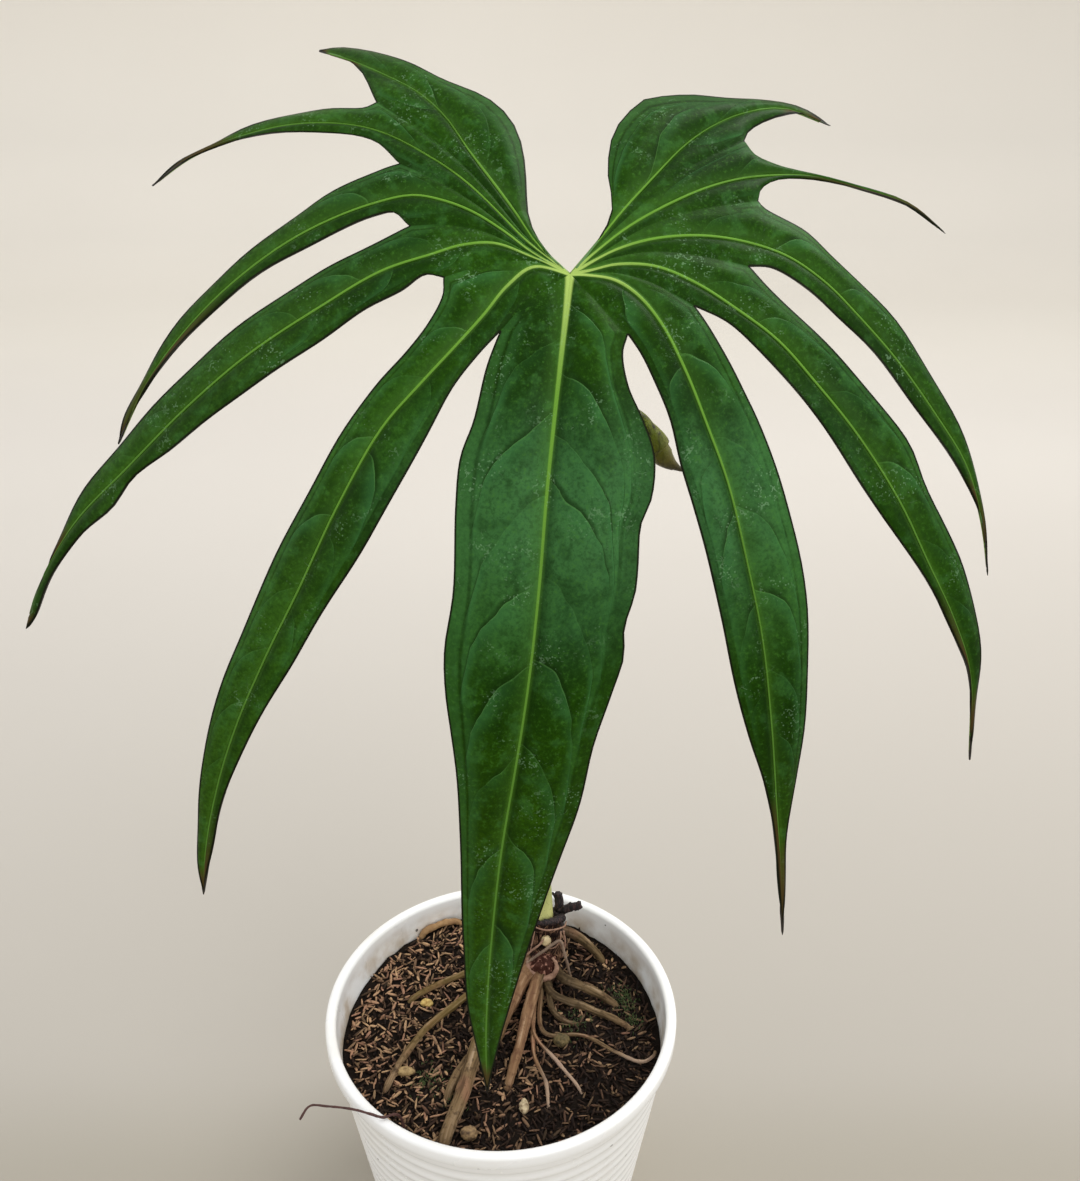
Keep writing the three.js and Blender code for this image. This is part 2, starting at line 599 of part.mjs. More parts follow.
function bladeSolid(thickness) {
  const middle = []; // points of the middle surface
  const bulge = []; // height of each over the plain surface
  const keel = []; // extra depth of each below
  const triangles = [];
  const shared = new Map();
  const add = (key, flat, lobe, height, depth) => {
    if (key && shared.has(key)) return shared.get(key);
    middle.push(drape([flat.x, flat.y], lobe));
    bulge.push(height);
    keel.push(depth);
    if (key) shared.set(key, middle.length - 1);
    return middle.length - 1;
  };

  LOBES.forEach((lobe, number) => {
    const webBefore = WEBS[number - 1];
    const webAfter = WEBS[number];
    const before = sideLine(webBefore, lobe.before, lobe.tip, webAfter ? webAfter.at(-1) : null);
    const after = sideLine(webAfter, lobe.after, lobe.tip, webBefore ? webBefore.at(-1) : null);
    const rib = flatCurve([[0, 0], ...lobe.rib, lobe.tip]);
    const notches = [webBefore, webAfter].filter(Boolean).map((web) => nearest(rib, web.at(-1)));
    const ribTurn = notches.reduce((sum, one) => sum + one, 0) / notches.length;
    const rows = [];
    for (let j = 0; j <= WEB_STATIONS + lobe.stations; j++) {
      const free = j > WEB_STATIONS;
      const part = free ? crowded((j - WEB_STATIONS) / lobe.stations) : j / WEB_STATIONS;
      const ribPoint = rib.getPointAt(free ? ribTurn + (1 - ribTurn) * part : ribTurn * part);
      const depth = RIB_DEPTH * (1 - 0.8 * (free ? ribTurn + (1 - ribTurn) * part : ribTurn * part));
      const end = j === 0 ? 'start' : part === 1 && free ? 'tip' + number : null;
      const row = [];
      [[before, -1], [after, 1]].forEach(([side, sign]) => {
        const edgePoint = side(part, free);
        const width = edgePoint.distanceTo(ribPoint);
        HALF_SECTION.forEach(([across, lift], column) => {
          const flat = ribPoint.clone().lerp(edgePoint, across);
          const onWeb = !free && across === 1 && (sign < 0 ? webBefore : webAfter);
          const web = sign < 0 ? number - 1 : number;
          const ribKey = column === 0 ? 'rib' + number + '_' + j : null;
          const key = end || (onWeb ? 'web' + web + '_' + j : ribKey);
          const height = onWeb || end ? 0 : lift * width;
          const place = sign * column + HALF_SECTION.length - 1;
          row[place] = add(key, flat, lobe, height, column === 0 ? depth : 0);
        });
      });
      rows.push(row);
    }
    for (let j = 0; j + 1 < rows.length; j++) {
      for (let c = 0; c + 1 < rows[j].length; c++) {
        const [a, b, d, e] = [rows[j][c], rows[j][c + 1], rows[j + 1][c], rows[j + 1][c + 1]];
        triangles.push([a, d, b], [b, d, e]);
      }
    }
  });
  const faces = triangles.filter(([a, b, c]) => a !== b && b !== c && c !== a);

  // Normals towards the front, from the faces round each point.
  const normalsOf = (points) => {
    const normals = points.map(() => new THREE.Vector3());
    for (const [a, b, c] of faces) {
      const across = points[b].clone().sub(points[a]);
      const normal = across.cross(points[c].clone().sub(points[a]));
      for (const corner of [a, b, c]) normals[corner].add(normal);
    }
    return normals.map((normal) => normal.normalize());
  };
  const plain = normalsOf(middle);
  const arched = middle.map((point, i) => point.clone().addScaledVector(plain[i], bulge[i]));
  const normals = normalsOf(arched);
  const top = arched.map((point, i) => point.clone().addScaledVector(normals[i], thickness / 2).toArray());
  const under = arched.map((point, i) =>
    point.clone().addScaledVector(normals[i], -thickness / 2 - keel[i]).toArray(),
  );

  // The edge all round joins the two faces.
  const count = top.length;
  const directed = new Set(faces.flatMap(([a, b, c]) => [`${a}-${b}`, `${b}-${c}`, `${c}-${a}`]));
  const closed = [];
  for (const [a, b, c] of faces) {
    closed.push([a, b, c], [c + count, b + count, a + count]);
    for (const [from, to] of [[a, b], [b, c], [c, a]]) {
      if (directed.has(`${to}-${from}`)) continue;
      closed.push([to, from, from + count], [to, from + count, to + count]);
    }
  }
  return solidFrom([...top, ...under], closed);
}

// Assembly
const blade = bladeSolid(BLADE_THICKNESS);
const bladeSeat = bladeSolid(BLADE_THICKNESS + 2 * GAP);
const petiole = largest(stalk(PETIOLE).subtract(bladeSeat));
const youngPetiole = stalk(YOUNG_PETIOLE);
const youngLeaf = stalk(YOUNG_LEAF).subtract(stalk(YOUNG_PETIOLE, GAP));
const rootstockSeat = stalks([STEM, BUD, ...ROOTS], GAP);
const petioleSeat = stalk(PETIOLE, GAP);
const youngSeat = stalk(YOUNG_PETIOLE, GAP);
const drySheath = stalks(DRY_SHEATH).subtract(petioleSeat).subtract(youngSeat);
const drySeat = stalks(DRY_SHEATH, GAP);
const rootletSeat = stalk(DRY_ROOTLET, GAP);
const rootstock = stalks([STEM, BUD, ...ROOTS])
  .subtract(petioleSeat)
  .subtract(youngSeat)
  .subtract(drySeat)
  .subtract(rootletSeat);
let mix = mixSolid().subtract(rootstockSeat).subtract(rootletSeat).subtract(stalk(STRAY_ROOTLET, GAP));
for (const pebble of Object.values(PEBBLES)) mix = mix.subtract(pebbleSolid(pebble, GAP));

const plant = new THREE.Group();
plant.add(
  meshOf(blade, 'leaf_blade', LEAF_GREEN),
  meshOf(petiole, 'leaf_petiole', STALK_GREEN),
  meshOf(largest(youngLeaf), 'young_leaf', YOUNG_OLIVE),
  meshOf(youngPetiole, 'young_petiole', STALK_GREEN),
  meshOf(largest(rootstock), 'rootstock', ROOT_TAN),
  meshOf(largest(drySheath), 'dry_sheath', DRY_BROWN),
  meshOf(stalk(DRY_ROOTLET), 'dry_rootlet', DRY_BROWN),
  meshOf(stalk(STRAY_ROOTLET), 'stray_rootlet', DRY_BROWN),
);
const potted = new THREE.Group();
potted.add(plant, meshOf(potSolid(), 'pot', WHITE_PLASTIC), meshOf(largest(mix), 'potting_mix', MIX_BROWN));
for (const [name, pebble] of Object.entries(PEBBLES)) {
  potted.add(meshOf(pebbleSolid(pebble).subtract(rootstockSeat), name, PEBBLE_TAN));
}

export default potted;
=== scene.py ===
# %% [markdown]
# # A potted aroid with one large cut leaf
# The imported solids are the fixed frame: pot, mix, rootstock, stalks and blade stand where they
# stand. Here each gets its finish, or is replaced by a finer piece of the same form. Shapes are in
# millimetres and meshes in metres. +Z is up, -Y is the front, and the origin is the middle of the
# pot's underside.

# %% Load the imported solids
import math
import random
from contextlib import contextmanager

import bpy
import numpy as np
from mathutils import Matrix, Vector, noise


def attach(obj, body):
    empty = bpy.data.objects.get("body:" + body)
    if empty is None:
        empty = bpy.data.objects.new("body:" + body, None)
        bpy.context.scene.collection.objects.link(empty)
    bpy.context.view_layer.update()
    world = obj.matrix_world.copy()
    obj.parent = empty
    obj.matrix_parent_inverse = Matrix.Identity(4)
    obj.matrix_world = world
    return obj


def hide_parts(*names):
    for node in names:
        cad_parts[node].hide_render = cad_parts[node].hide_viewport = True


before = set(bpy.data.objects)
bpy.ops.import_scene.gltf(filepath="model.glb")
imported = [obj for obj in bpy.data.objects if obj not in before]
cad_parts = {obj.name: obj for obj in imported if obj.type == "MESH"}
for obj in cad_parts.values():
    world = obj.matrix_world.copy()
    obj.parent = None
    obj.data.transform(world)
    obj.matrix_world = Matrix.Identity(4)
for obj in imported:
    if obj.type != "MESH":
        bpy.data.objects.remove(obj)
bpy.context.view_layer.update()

MM = 0.001
print("solids:", len(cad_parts))

# %% [markdown]
# ## Camera, light and floor
# The camera stands a little to the right of the pot's middle, 0.63 m up, and looks 28 degrees down.
# The pot's rim fixes that: a circle seen at this height gives the ellipse of the photograph. The
# picture is upright, so the lens is set by its long side.

# %% The camera
PICTURE = (1080, 1181)
FOCAL_PIXELS = 1200
SENSOR = 36
CAMERA_PLACE = (0.0199, -0.4458, 0.6301)
CAMERA_PITCH = math.radians(61.9)
bpy.ops.object.camera_add(location=CAMERA_PLACE, rotation=(CAMERA_PITCH, 0, 0))
camera = bpy.context.object
camera.data.sensor_width = SENSOR
camera.data.lens = SENSOR * FOCAL_PIXELS / max(PICTURE)
bpy.context.scene.camera = camera
bpy.context.scene.view_settings.view_transform = "Standard"
print("lens:", round(camera.data.lens, 2), "mm")

# %% [markdown]
# A finish starts with a ground colour, and further colours are laid over it through masks. A mask
# is a number from 0 to 1, made from noise, from a place, or from one of the piece's own maps. One
# small class adds the nodes, so that each finish below reads as a list of layers.


# %% Helpers for colours and materials
def colour(red, green, blue):
    """A screen colour from 0 to 255 as the linear colour that the shader takes."""
    parts = [part / 255 for part in (red, green, blue)]
    return [p / 12.92 if p < 0.04045 else ((p + 0.055) / 1.055) ** 2.4 for p in parts] + [1]


class Finish:
    """A material and the nodes that feed its one shader."""

    def __init__(self, name, roughness, shine=None):
        self.material = bpy.data.materials.new(name)
        self.material.use_nodes = True
        self.tree = self.material.node_tree
        self.shader = self.tree.nodes["Principled BSDF"]
        self.place = self.node("TexCoord", output="Object")
        self.set("Roughness", roughness)
        if shine:
            self.set("Specular IOR Level", shine)

    def feed(self, socket, value):
        if isinstance(value, bpy.types.NodeSocket):
            self.tree.links.new(value, socket)
        else:
            socket.default_value = value

    def set(self, name, value):
        self.feed(self.shader.inputs[name], value)

    def node(self, kind, inputs=(), output=0, **settings):
        """Adds a node, feeds it with numbers or links, and returns one output or, for None, all."""
        made = self.tree.nodes.new("ShaderNode" + kind)
        for key, value in settings.items():
            setattr(made, key, value)
        for key, value in dict(inputs).items():
            self.feed(made.inputs[key], value)
        return made.outputs if output is None else made.outputs[output]

    def math(self, operation, *values):
        return self.node("Math", enumerate(values), operation=operation)

    def times(self, first, *others):
        for other in others:
            first = self.math("MULTIPLY", first, other)
        return first

    def step(self, value, low, high):
        """0 at low, 1 at high and smooth between."""
        return self.node("MapRange", enumerate((value, low, high, 0.0, 1.0)), interpolation_type="SMOOTHSTEP")

    def off(self, value, middle):
        return self.math("ABSOLUTE", self.math("SUBTRACT", value, middle))

    def noise(self, scale, detail=3.0, place=None, rough=0.5):
        values = {"Vector": place or self.place, "Scale": scale, "Detail": detail, "Roughness": rough}
        return self.node("TexNoise", values, "Fac")

    def streaks(self, scale, detail=4, place=None):
        """Noise that is finer in some directions than in others."""
        stretched = self.node("Mapping", {"Vector": place or self.place, "Scale": scale})
        return self.noise(1, detail, stretched)

    def cells(self, scale):
        return self.node("TexVoronoi", {"Vector": self.place, "Scale": scale}, "Distance")

    def parts(self, map_name=None):
        """The three parts of the place, or of one of the piece's own maps."""
        source = self.node("UVMap", uv_map=map_name) if map_name else self.place
        return self.node("SeparateXYZ", {0: source}, None)

    def mix(self, share, first, second):
        sides = [colour(*side) if isinstance(side, tuple) else side for side in (first, second)]
        return self.node("Mix", zip((0, 6, 7), (share, *sides)), 2, data_type="RGBA")

    def ground(self, share, first, second):
        self.shade = self.mix(share, first, second)
        self.set("Base Color", self.shade)

    def tint(self, value, *shares):
        """Lays a colour over the shade so far, as strongly as all the shares together."""
        self.ground(self.times(*shares), self.shade, value)

    def bump(self, height, distance, strength):
        values = {"Height": height, "Distance": distance, "Strength": strength}
        self.set("Normal", self.node("Bump", values))


def speckled(name, roughness, speckle, first, second, grain, distance, strength, shine=None):
    """A plain finish: two colours mixed by one noise, and a second noise as its grain."""
    skin = Finish(name, roughness, shine)
    skin.ground(skin.noise(*speckle), first, second)
    skin.bump(skin.noise(*grain), distance, strength)
    return skin


DULL = 0.15  # shine of bark and soil

# %% [markdown]
# A pale floor runs up into a pale wall, far enough behind to show no corner. Its paint holds painted shade:
# darker towards the front and to the right, with a painted shadow over the floor from the pot forwards. One
# soft panel hangs above and to the right of the plant, a second one lights it from the right of the camera, a
# weak one fills the left side, and the world is an even near-white.

# %% Paint of the floor and the wall
studio = Finish("studio_paint", 0.95, 0.1)
sideways, backwards, _ = studio.parts()
# Painted shade: the paint grows darker towards the front and lighter up the wall.
studio.ground(studio.step(backwards, 1.5, 3.3), (168, 162, 151), (228, 222, 213))
studio.tint((236, 230, 219), studio.step(backwards, 3.2, 3.8))
# Painted shadow: the floor from the pot forwards is darker.
studio.tint((150, 142, 122), studio.step(backwards, 2.1, 2.0), 0.35)
# Painted shade: the paint is a little darker to the right, most on the floor.
painted_shade_share = studio.math("MULTIPLY_ADD", studio.step(backwards, 3.2, 2.6), 0.13, 0.07)
studio.tint((150, 142, 130), studio.step(sideways, -0.5, 0.8), painted_shade_share)
studio.ground(studio.noise(3), studio.shade, studio.mix(0.94, (150, 140, 125), studio.shade))
print("paint:", len(studio.tree.nodes), "nodes")

# %% Floor and wall
FLOOR_SIZE, FLOOR_FORWARD = 8, 2
SWEEP = ((0.3, 0.06), (0.22, 0.18), (0.08, 0.3), (0, 2.5))  # forward and up, m


@contextmanager
def editing(select="SELECT"):
    """Goes into edit mode for the lines under it, with all selected, nothing or, for None, as it was."""
    bpy.ops.object.mode_set(mode="EDIT")
    if select:
        bpy.ops.mesh.select_all(action=select)
    yield
    bpy.ops.object.mode_set(mode="OBJECT")


bpy.ops.mesh.primitive_plane_add(size=FLOOR_SIZE, location=(0, -FLOOR_FORWARD, 0))
floor = bpy.context.object
floor.name = "studio_floor"
with editing("DESELECT"):
    bpy.ops.mesh.select_mode(type="EDGE")
for edge in floor.data.edges:
    edge.select = all(floor.data.vertices[i].co.y > 0 for i in edge.vertices)
with editing(None):
    for forward, up in SWEEP:
        bpy.ops.mesh.extrude_region_move(TRANSFORM_OT_translate={"value": (0, forward, up)})
bpy.ops.object.shade_smooth()
floor.data.materials.append(studio.material)
print("floor:", len(floor.data.polygons), "faces")

# %% Lights and world
PANELS = {  # place, size and power
    "panel_above": ((0.9, 0.5, 2.0), 1.0, 19),
    "panel_front": ((1.1, -1.7, 1.5), 1.4, 11.7),
    "panel_left": ((-2.0, -0.2, 1.2), 1.4, 3.4),
}
LIT_POINT = Vector((0, 0, 0.3))
for name, (spot, size, power) in PANELS.items():
    bpy.ops.object.light_add(type="AREA", location=spot)
    panel = bpy.context.object
    panel.name = name
    panel.data.size = size
    panel.data.energy = power
    panel.rotation_euler = (LIT_POINT - Vector(spot)).to_track_quat("-Z", "Y").to_euler()

world = bpy.data.worlds.new("even_grey")
world.use_nodes = True
background = world.node_tree.nodes["Background"]
background.inputs["Color"].default_value = (0.97, 0.98, 1.0, 1)
background.inputs["Strength"].default_value = 0.87
bpy.context.scene.world = world
print("panels:", len(PANELS))

# %% [markdown]
# ## How the pieces are made
# Every piece ends the same way: its object goes to the origin, it gets its name and finish, the solids it
# replaces are hidden, and it rides on the plant's one body. One helper does that for all.


# %% Helpers that finish a piece
def select_only(obj):
    bpy.ops.object.select_all(action="DESELECT")
    obj.select_set(True)
    bpy.context.view_layer.objects.active = obj


def apply_transform():
    bpy.ops.object.transform_apply(location=True, rotation=True, scale=True)


def finish_piece(obj, name, finish, slot, *stands_for):
    """Names a piece, gives it its finish and lets it ride on the plant's one body."""
    select_only(obj)
    apply_transform()
    bpy.ops.object.shade_smooth()
    obj.name = name
    if finish:
        obj.data.materials.append(finish.material)
    if stands_for:
        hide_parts(*stands_for)
    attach(obj, "root")
    print(name, len(obj.data.polygons), "faces")


def joined(objects):
    select_only(objects[0])
    for obj in objects[1:]:
        obj.select_set(True)
    bpy.ops.object.join()
    return bpy.context.object


def mesh_piece(points, faces, maps=None):
    """A mesh from points in millimetres. maps holds a value pair for each corner of each face."""
    mesh = bpy.data.meshes.new("piece")
    mesh.from_pydata([tuple(p) for p in np.asarray(points) * MM], [], faces)
    for name, values in (maps or {}).items():
        layer = mesh.uv_layers.new(name=name)
        layer.data.foreach_set("uv", np.asarray(values, np.float32).ravel())
    obj = bpy.data.objects.new("piece", mesh)
    bpy.context.scene.collection.objects.link(obj)
    select_only(obj)
    return obj


def merge_and_orient(obj, distance=0.00002, outwards=True):
    select_only(obj)
    with editing():
        bpy.ops.mesh.remove_doubles(threshold=distance)
        if outwards:
            bpy.ops.mesh.normals_make_consistent(inside=False)

# %% [markdown]
# A plant has few straight lines. Most of its pieces are tubes along a route, so one helper adds a
# path, gives it the route's points and widths and turns it into a mesh. The route is a smooth line
# through a few points, read by the part of its length, so that rings and widths spread evenly.
# Another helper pushes the skin in and out by a noise, as bark does.

# %% Lines, tubes and rough skins
LINE_STEPS = 40  # straight bits between two points of a route


class Line:
    """A smooth line through points, read by the part of its length."""

    def __init__(self, points):
        p = np.array(points, float)
        p = np.vstack([2 * p[0] - p[1], p, 2 * p[-1] - p[-2]])
        pieces = [p[1][None]]
        t = np.linspace(0, 1, LINE_STEPS + 1)[1:, None]
        for a, b, c, d in zip(p, p[1:], p[2:], p[3:]):
            e, f, g = [max(float(np.sum((q - r) ** 2)), 1e-8) ** 0.25 for q, r in ((a, b), (b, c), (c, d))]
            start = ((b - a) / e - (c - a) / (e + f) + (c - b) / f) * f
            end = ((c - b) / f - (d - b) / (f + g) + (d - c) / g) * f
            square = 3 * (c - b) - 2 * start - end
            cube = 2 * (b - c) + start + end
            pieces.append(b + start * t + square * t**2 + cube * t**3)
        self.points = np.vstack(pieces)
        steps = np.linalg.norm(np.diff(self.points, axis=0), axis=1)
        self.reach = np.concatenate([[0], np.cumsum(steps)])
        self.length = self.reach[-1]

    def at(self, part):
        return np.array([np.interp(part * self.length, self.reach, values) for values in self.points.T])

    def nearest(self, target):
        distances = np.linalg.norm(self.points - np.array(target), axis=1)
        return self.reach[int(np.argmin(distances))] / self.length


def tube(route, widths, sides, rings):
    """A closed round tube in millimetres along a smooth route, its half widths spread evenly."""
    bpy.ops.object.select_all(action="DESELECT")
    bpy.ops.curve.primitive_nurbs_path_add()
    obj = bpy.context.object
    curve = obj.data
    curve.splines.clear()
    spline = curve.splines.new("POLY")
    spline.points.add(rings)
    line = Line(route)
    for i, point in enumerate(spline.points):
        part = i / rings
        point.co = (*(line.at(part) * MM), 1)
        point.radius = np.interp(part * (len(widths) - 1), range(len(widths)), widths)
    curve.bevel_depth = MM
    curve.bevel_resolution = (sides - 4) // 2
    curve.use_fill_caps = True
    bpy.ops.object.convert(target="MESH")
    merge_and_orient(obj)
    return obj


def roughen(obj, size, depth, stretch=(1, 1, 1), seed=0):
    """Pushes the skin in and out by a noise. Size and depth are in millimetres."""
    shift = Vector((seed * 7.3, seed * 3.1, seed * 5.7))
    moves = []
    for vertex in obj.data.vertices:
        spot = Vector([vertex.co[axis] / MM / size / stretch[axis] for axis in range(3)])
        moves.append(vertex.co + vertex.normal * noise.fractal(spot + shift, 1.0, 2.0, 3) * depth * MM)
    for vertex, moved in zip(obj.data.vertices, moves):
        vertex.co = moved
    obj.data.update()
    return obj

# %% [markdown]
# ## The leaf blade
# The blade is one sheet, cut into eleven lobes. It is drawn flat first, in millimetres to the right
# and up from the point where the lobes meet, as a leaf pressed on paper would be measured: tip,
# middle rib and two edges of each lobe, and the webs that run to the bottoms of the notches.

# %% The lobes, drawn flat
WEBS = [
    [[-16, 14.5], [-33, 38], [-47, 54], [-63, 68], [-79, 80]],
    [[-17, 12.5], [-36, 30], [-52, 41], [-68, 49]],
    [[-16, 9], [-33, 18], [-48, 21], [-63, 20]],
    [[-14, 5.5], [-26, 5], [-38, 2], [-49, -2]],
    [[-14, -9], [-27, -24]],
    [[10, -11], [22, -25]],
    [[17, 0.5], [32, -4], [48, -14]],
    [[17, 7], [33, 9.5], [52, 7], [70, 2]],
    [[15, 11], [33, 22], [52, 28], [75, 31]],
    [[12, 13.5], [28, 30], [48, 47], [71, 60]],
]

LOBES = {
    "left_1": dict(
        tip=[-107, 108], fold_back=9, fold_start=110,
        rib=[[-13, 13.5], [-20, 25], [-29, 39], [-40, 56], [-50, 73], [-62, 86], [-76, 95], [-92, 103]],
        before=[
            [-4.5, 4], [-9.5, 10.5], [-14, 18.5], [-16.5, 28], [-17, 41], [-18.5, 57], [-21.5, 68],
            [-26.5, 77], [-35, 85.5], [-53, 95], [-71, 105], [-85, 110], [-97, 111],
        ],
        after=[[-81, 85], [-87, 98], [-96, 106]],
    ),
    "left_2": dict(
        tip=[-181, 27], fold_back=25, fold_start=110,
        rib=[
            [-17, 14.5], [-28, 27], [-40, 40], [-52, 50], [-75, 64], [-92, 68], [-112, 67], [-134, 60],
            [-160, 46],
        ],
        before=[[-84, 77], [-101, 76], [-116, 72], [-134, 64], [-150, 54], [-166, 43]],
        after=[[-72, 54], [-77, 59], [-87, 63], [-103, 64], [-125, 61], [-150, 52], [-166, 41]],
    ),
    "left_3": dict(
        tip=[-189, -88], fold_back=18, fold_start=95,
        rib=[
            [-15, 9.5], [-25, 18], [-38, 27], [-50, 32], [-62, 34], [-77, 30], [-96, 21], [-114, 9],
            [-136, -11], [-156, -34], [-173, -58],
        ],
        before=[
            [-75, 46], [-96, 34], [-108, 24], [-121, 12], [-136, -3], [-153, -22], [-166, -41],
            [-177, -60], [-185, -75],
        ],
        after=[
            [-69, 26], [-77, 24], [-89, 18], [-104, 9], [-120, -2], [-136, -16], [-152, -33],
            [-169, -54], [-181, -72],
        ],
    ),
    "left_4": dict(
        tip=[-236, -170], fold_back=0, fold_start=95,
        rib=[
            [-15, 7.5], [-29, 13], [-42, 12], [-53, 8], [-73, 0], [-98, -17], [-126, -38], [-152, -62],
            [-178, -89], [-205, -117], [-227, -150],
        ],
        before=[
            [-81, 9], [-99, -2], [-119, -17], [-141, -36], [-163, -59], [-184, -83], [-201, -104],
            [-215, -128], [-228, -154],
        ],
        after=[
            [-56, -1], [-65, -8], [-80, -17], [-98, -31], [-118, -46], [-140, -63], [-158, -79],
            [-176, -93], [-186, -107], [-202, -121], [-217, -140], [-230, -163],
        ],
    ),
    "left_5": dict(
        tip=[-161, -279], fold_back=-7, fold_start=95,
        rib=[
            [-14, 3], [-24, -5], [-33, -17], [-43, -29], [-57, -45], [-72, -63], [-90, -95],
            [-106, -128], [-121, -157], [-136, -189], [-148, -221], [-157, -254],
        ],
        before=[
            [-49, -9], [-54, -20], [-63, -33], [-75, -47], [-87, -64], [-99, -86], [-112, -109],
            [-122, -130], [-131, -149], [-140, -169], [-149, -193], [-154, -212], [-159, -238],
            [-162, -262],
        ],
        after=[
            [-35, -33], [-44, -45], [-53, -62], [-63, -80], [-78, -107], [-94, -132], [-109, -157],
            [-123, -180], [-137, -206], [-147, -230], [-155, -257],
        ],
    ),
    "middle": dict(
        tip=[-36, -377], fold_back=0, fold_start=60,
        rib=[
            [-2, -20], [-5, -47], [-9, -86], [-12, -123], [-16, -160], [-21, -195], [-28, -242],
            [-34, -305], [-36, -345],
        ],
        before=[
            [-32, -38], [-37, -59], [-42, -73], [-44, -92], [-45, -124], [-49, -148], [-49, -163],
            [-47, -184], [-45, -211], [-45, -285], [-44, -323], [-41, -346],
        ],
        after=[
            [20, -32], [22, -45], [28, -59], [32, -72], [31, -88], [27, -98], [26, -113], [25, -124],
            [21, -138], [21, -150], [17, -163], [10, -186], [5, -213], [-2, -238], [-11, -269],
            [-23, -315], [-31, -350],
        ],
    ),
    "right_5": dict(
        tip=[95, -291], fold_back=0, fold_start=95,
        rib=[
            [7, -0.5], [17, -2.5], [26, -9], [35, -21], [44, -40], [52, -61], [60, -83], [68, -114],
            [75, -144], [81, -182], [86, -219], [91, -255],
        ],
        before=[
            [27, -33], [32, -44], [38, -59], [42, -76], [47, -93], [53, -113], [64, -159], [72, -187],
            [80, -209], [85, -229], [90, -258],
        ],
        after=[
            [53, -22], [60, -35], [66, -47], [73, -62], [84, -94], [90, -116], [94, -145], [95, -180],
            [94, -208], [92, -236], [94, -264],
        ],
    ),
    "right_4": dict(
        tip=[178, -224], fold_back=9, fold_start=95,
        rib=[
            [8, 1.5], [18, 4], [33, 3], [48, -4], [62, -14], [80, -29], [95, -47], [112, -69],
            [130, -97], [143, -122], [157, -148], [169, -176],
        ],
        before=[
            [62, -22], [83, -45], [98, -64], [113, -88], [131, -113], [148, -138], [161, -162],
            [168, -176], [174, -199],
        ],
        after=[
            [77, -7], [94, -25], [108, -41], [122, -58], [134, -75], [141, -91], [151, -110],
            [161, -130], [168, -148], [173, -168], [175, -190],
        ],
    ),
    "right_3": dict(
        tip=[177, -140], fold_back=15, fold_start=95,
        rib=[
            [8, 5], [18, 10.5], [33, 15], [51, 16], [68, 13], [85, 6], [100, -6], [113, -21], [129, -41],
            [145, -64], [161, -89], [171, -116],
        ],
        before=[[79, 1], [93, -9], [105, -21], [117, -34], [131, -53], [147, -75], [160, -94], [170, -112]],
        after=[
            [77, 28], [93, 17], [103, 6], [115, -7], [128, -23], [139, -40], [149, -57], [159, -76],
            [167, -96], [173, -119],
        ],
    ),
    "right_2": dict(
        tip=[158, 8], fold_back=15, fold_start=95,
        rib=[[11, 10.5], [23, 20.5], [40, 31], [58, 39], [75, 42.5], [99, 41.5], [121, 33.5], [141, 24]],
        before=[[76, 36], [83, 40.5], [99, 40.7], [121, 32.7], [141, 23.2]],
        after=[[75, 53], [85, 47.5], [99, 42.7], [121, 34.3], [141, 25]],
    ),
    "right_1": dict(
        tip=[109, 66], fold_back=5, fold_start=95,
        rib=[[10, 13], [21, 28], [34, 44], [47, 59], [60, 69], [74, 75], [89, 76]],
        before=[[73, 65], [80, 70], [90, 73], [99, 73]],
        after=[
            [5, 4.5], [10, 12.5], [15, 23], [17, 31.5], [15.5, 41], [16, 55.5], [18.5, 67], [24, 76.5],
            [32, 84.5], [40, 85.5], [50, 85.5], [64, 83], [80, 82], [91, 79], [99, 74.5],
        ],
    ),
}

PETIOLE_END = (31.5, 20, 519.5)
BLADE_THICKNESS = 0.8
RIB_HALF = [0.65, 0.65, 0.7, 0.75, 0.8, 1.7, 0.8, 0.75, 0.7, 0.65, 0.6]  # half width of each rib, mm
CORD = [1.5, 1.2, 0.9, 0.65, 0.3]  # half width of the cord under a rib, base to tip, in rib half widths
VEIN_STARTS = {  # where side veins leave the middle lobe's rib, on its left and on its right
    (5, -1): [25, 57, 88, 118, 155, 195, 240, 290, 340],
    (5, 1): [12, 40, 65, 81, 118, 150, 188, 230, 280, 330],
}
print("lobes:", len(LOBES))

# %% [markdown]
# The flat leaf is then draped. Its upper part leans back, its lower part bends forward and hangs
# down, and both sides fall back a little, like an umbrella. Some tips lean back further.


# %% Draping
TILT = math.radians(42)
TIP_TILT = math.radians(3)
FALL, RISE, SIDE = 300, 500, 450  # radii of the bends, mm


def drape(right, up, lobe):
    tilt = TILT + up / RISE
    back_above = RISE * (math.cos(TILT) - np.cos(tilt))
    rise_above = RISE * (np.sin(tilt) - math.sin(TILT))
    tilt = np.maximum(TIP_TILT, TILT + up / FALL)
    straight = -up - FALL * (TILT - tilt)
    back_below = -FALL * (np.cos(tilt) - math.cos(TILT)) - straight * np.sin(tilt)
    rise_below = -FALL * (math.sin(TILT) - np.sin(tilt)) - straight * np.cos(tilt)
    back = np.where(up > 0, back_above, back_below) + right**2 / (2 * SIDE)
    rise = np.where(up > 0, rise_above, rise_below)
    reach = np.maximum(np.hypot(right, up) - lobe["fold_start"], 0)
    back = back + lobe["fold_back"] * (reach / (math.hypot(*lobe["tip"]) - lobe["fold_start"])) ** 2
    return np.stack([right, back, rise], -1) + PETIOLE_END


def facing(right, up, lobe):
    """The direction that the draped blade faces, towards the front."""
    here = drape(right, up, lobe)
    across = drape(right + 0.5, up, lobe) - here
    along = drape(right, up + 0.5, lobe) - here
    normal = np.cross(across, along)
    return normal / np.linalg.norm(normal, axis=-1, keepdims=True)


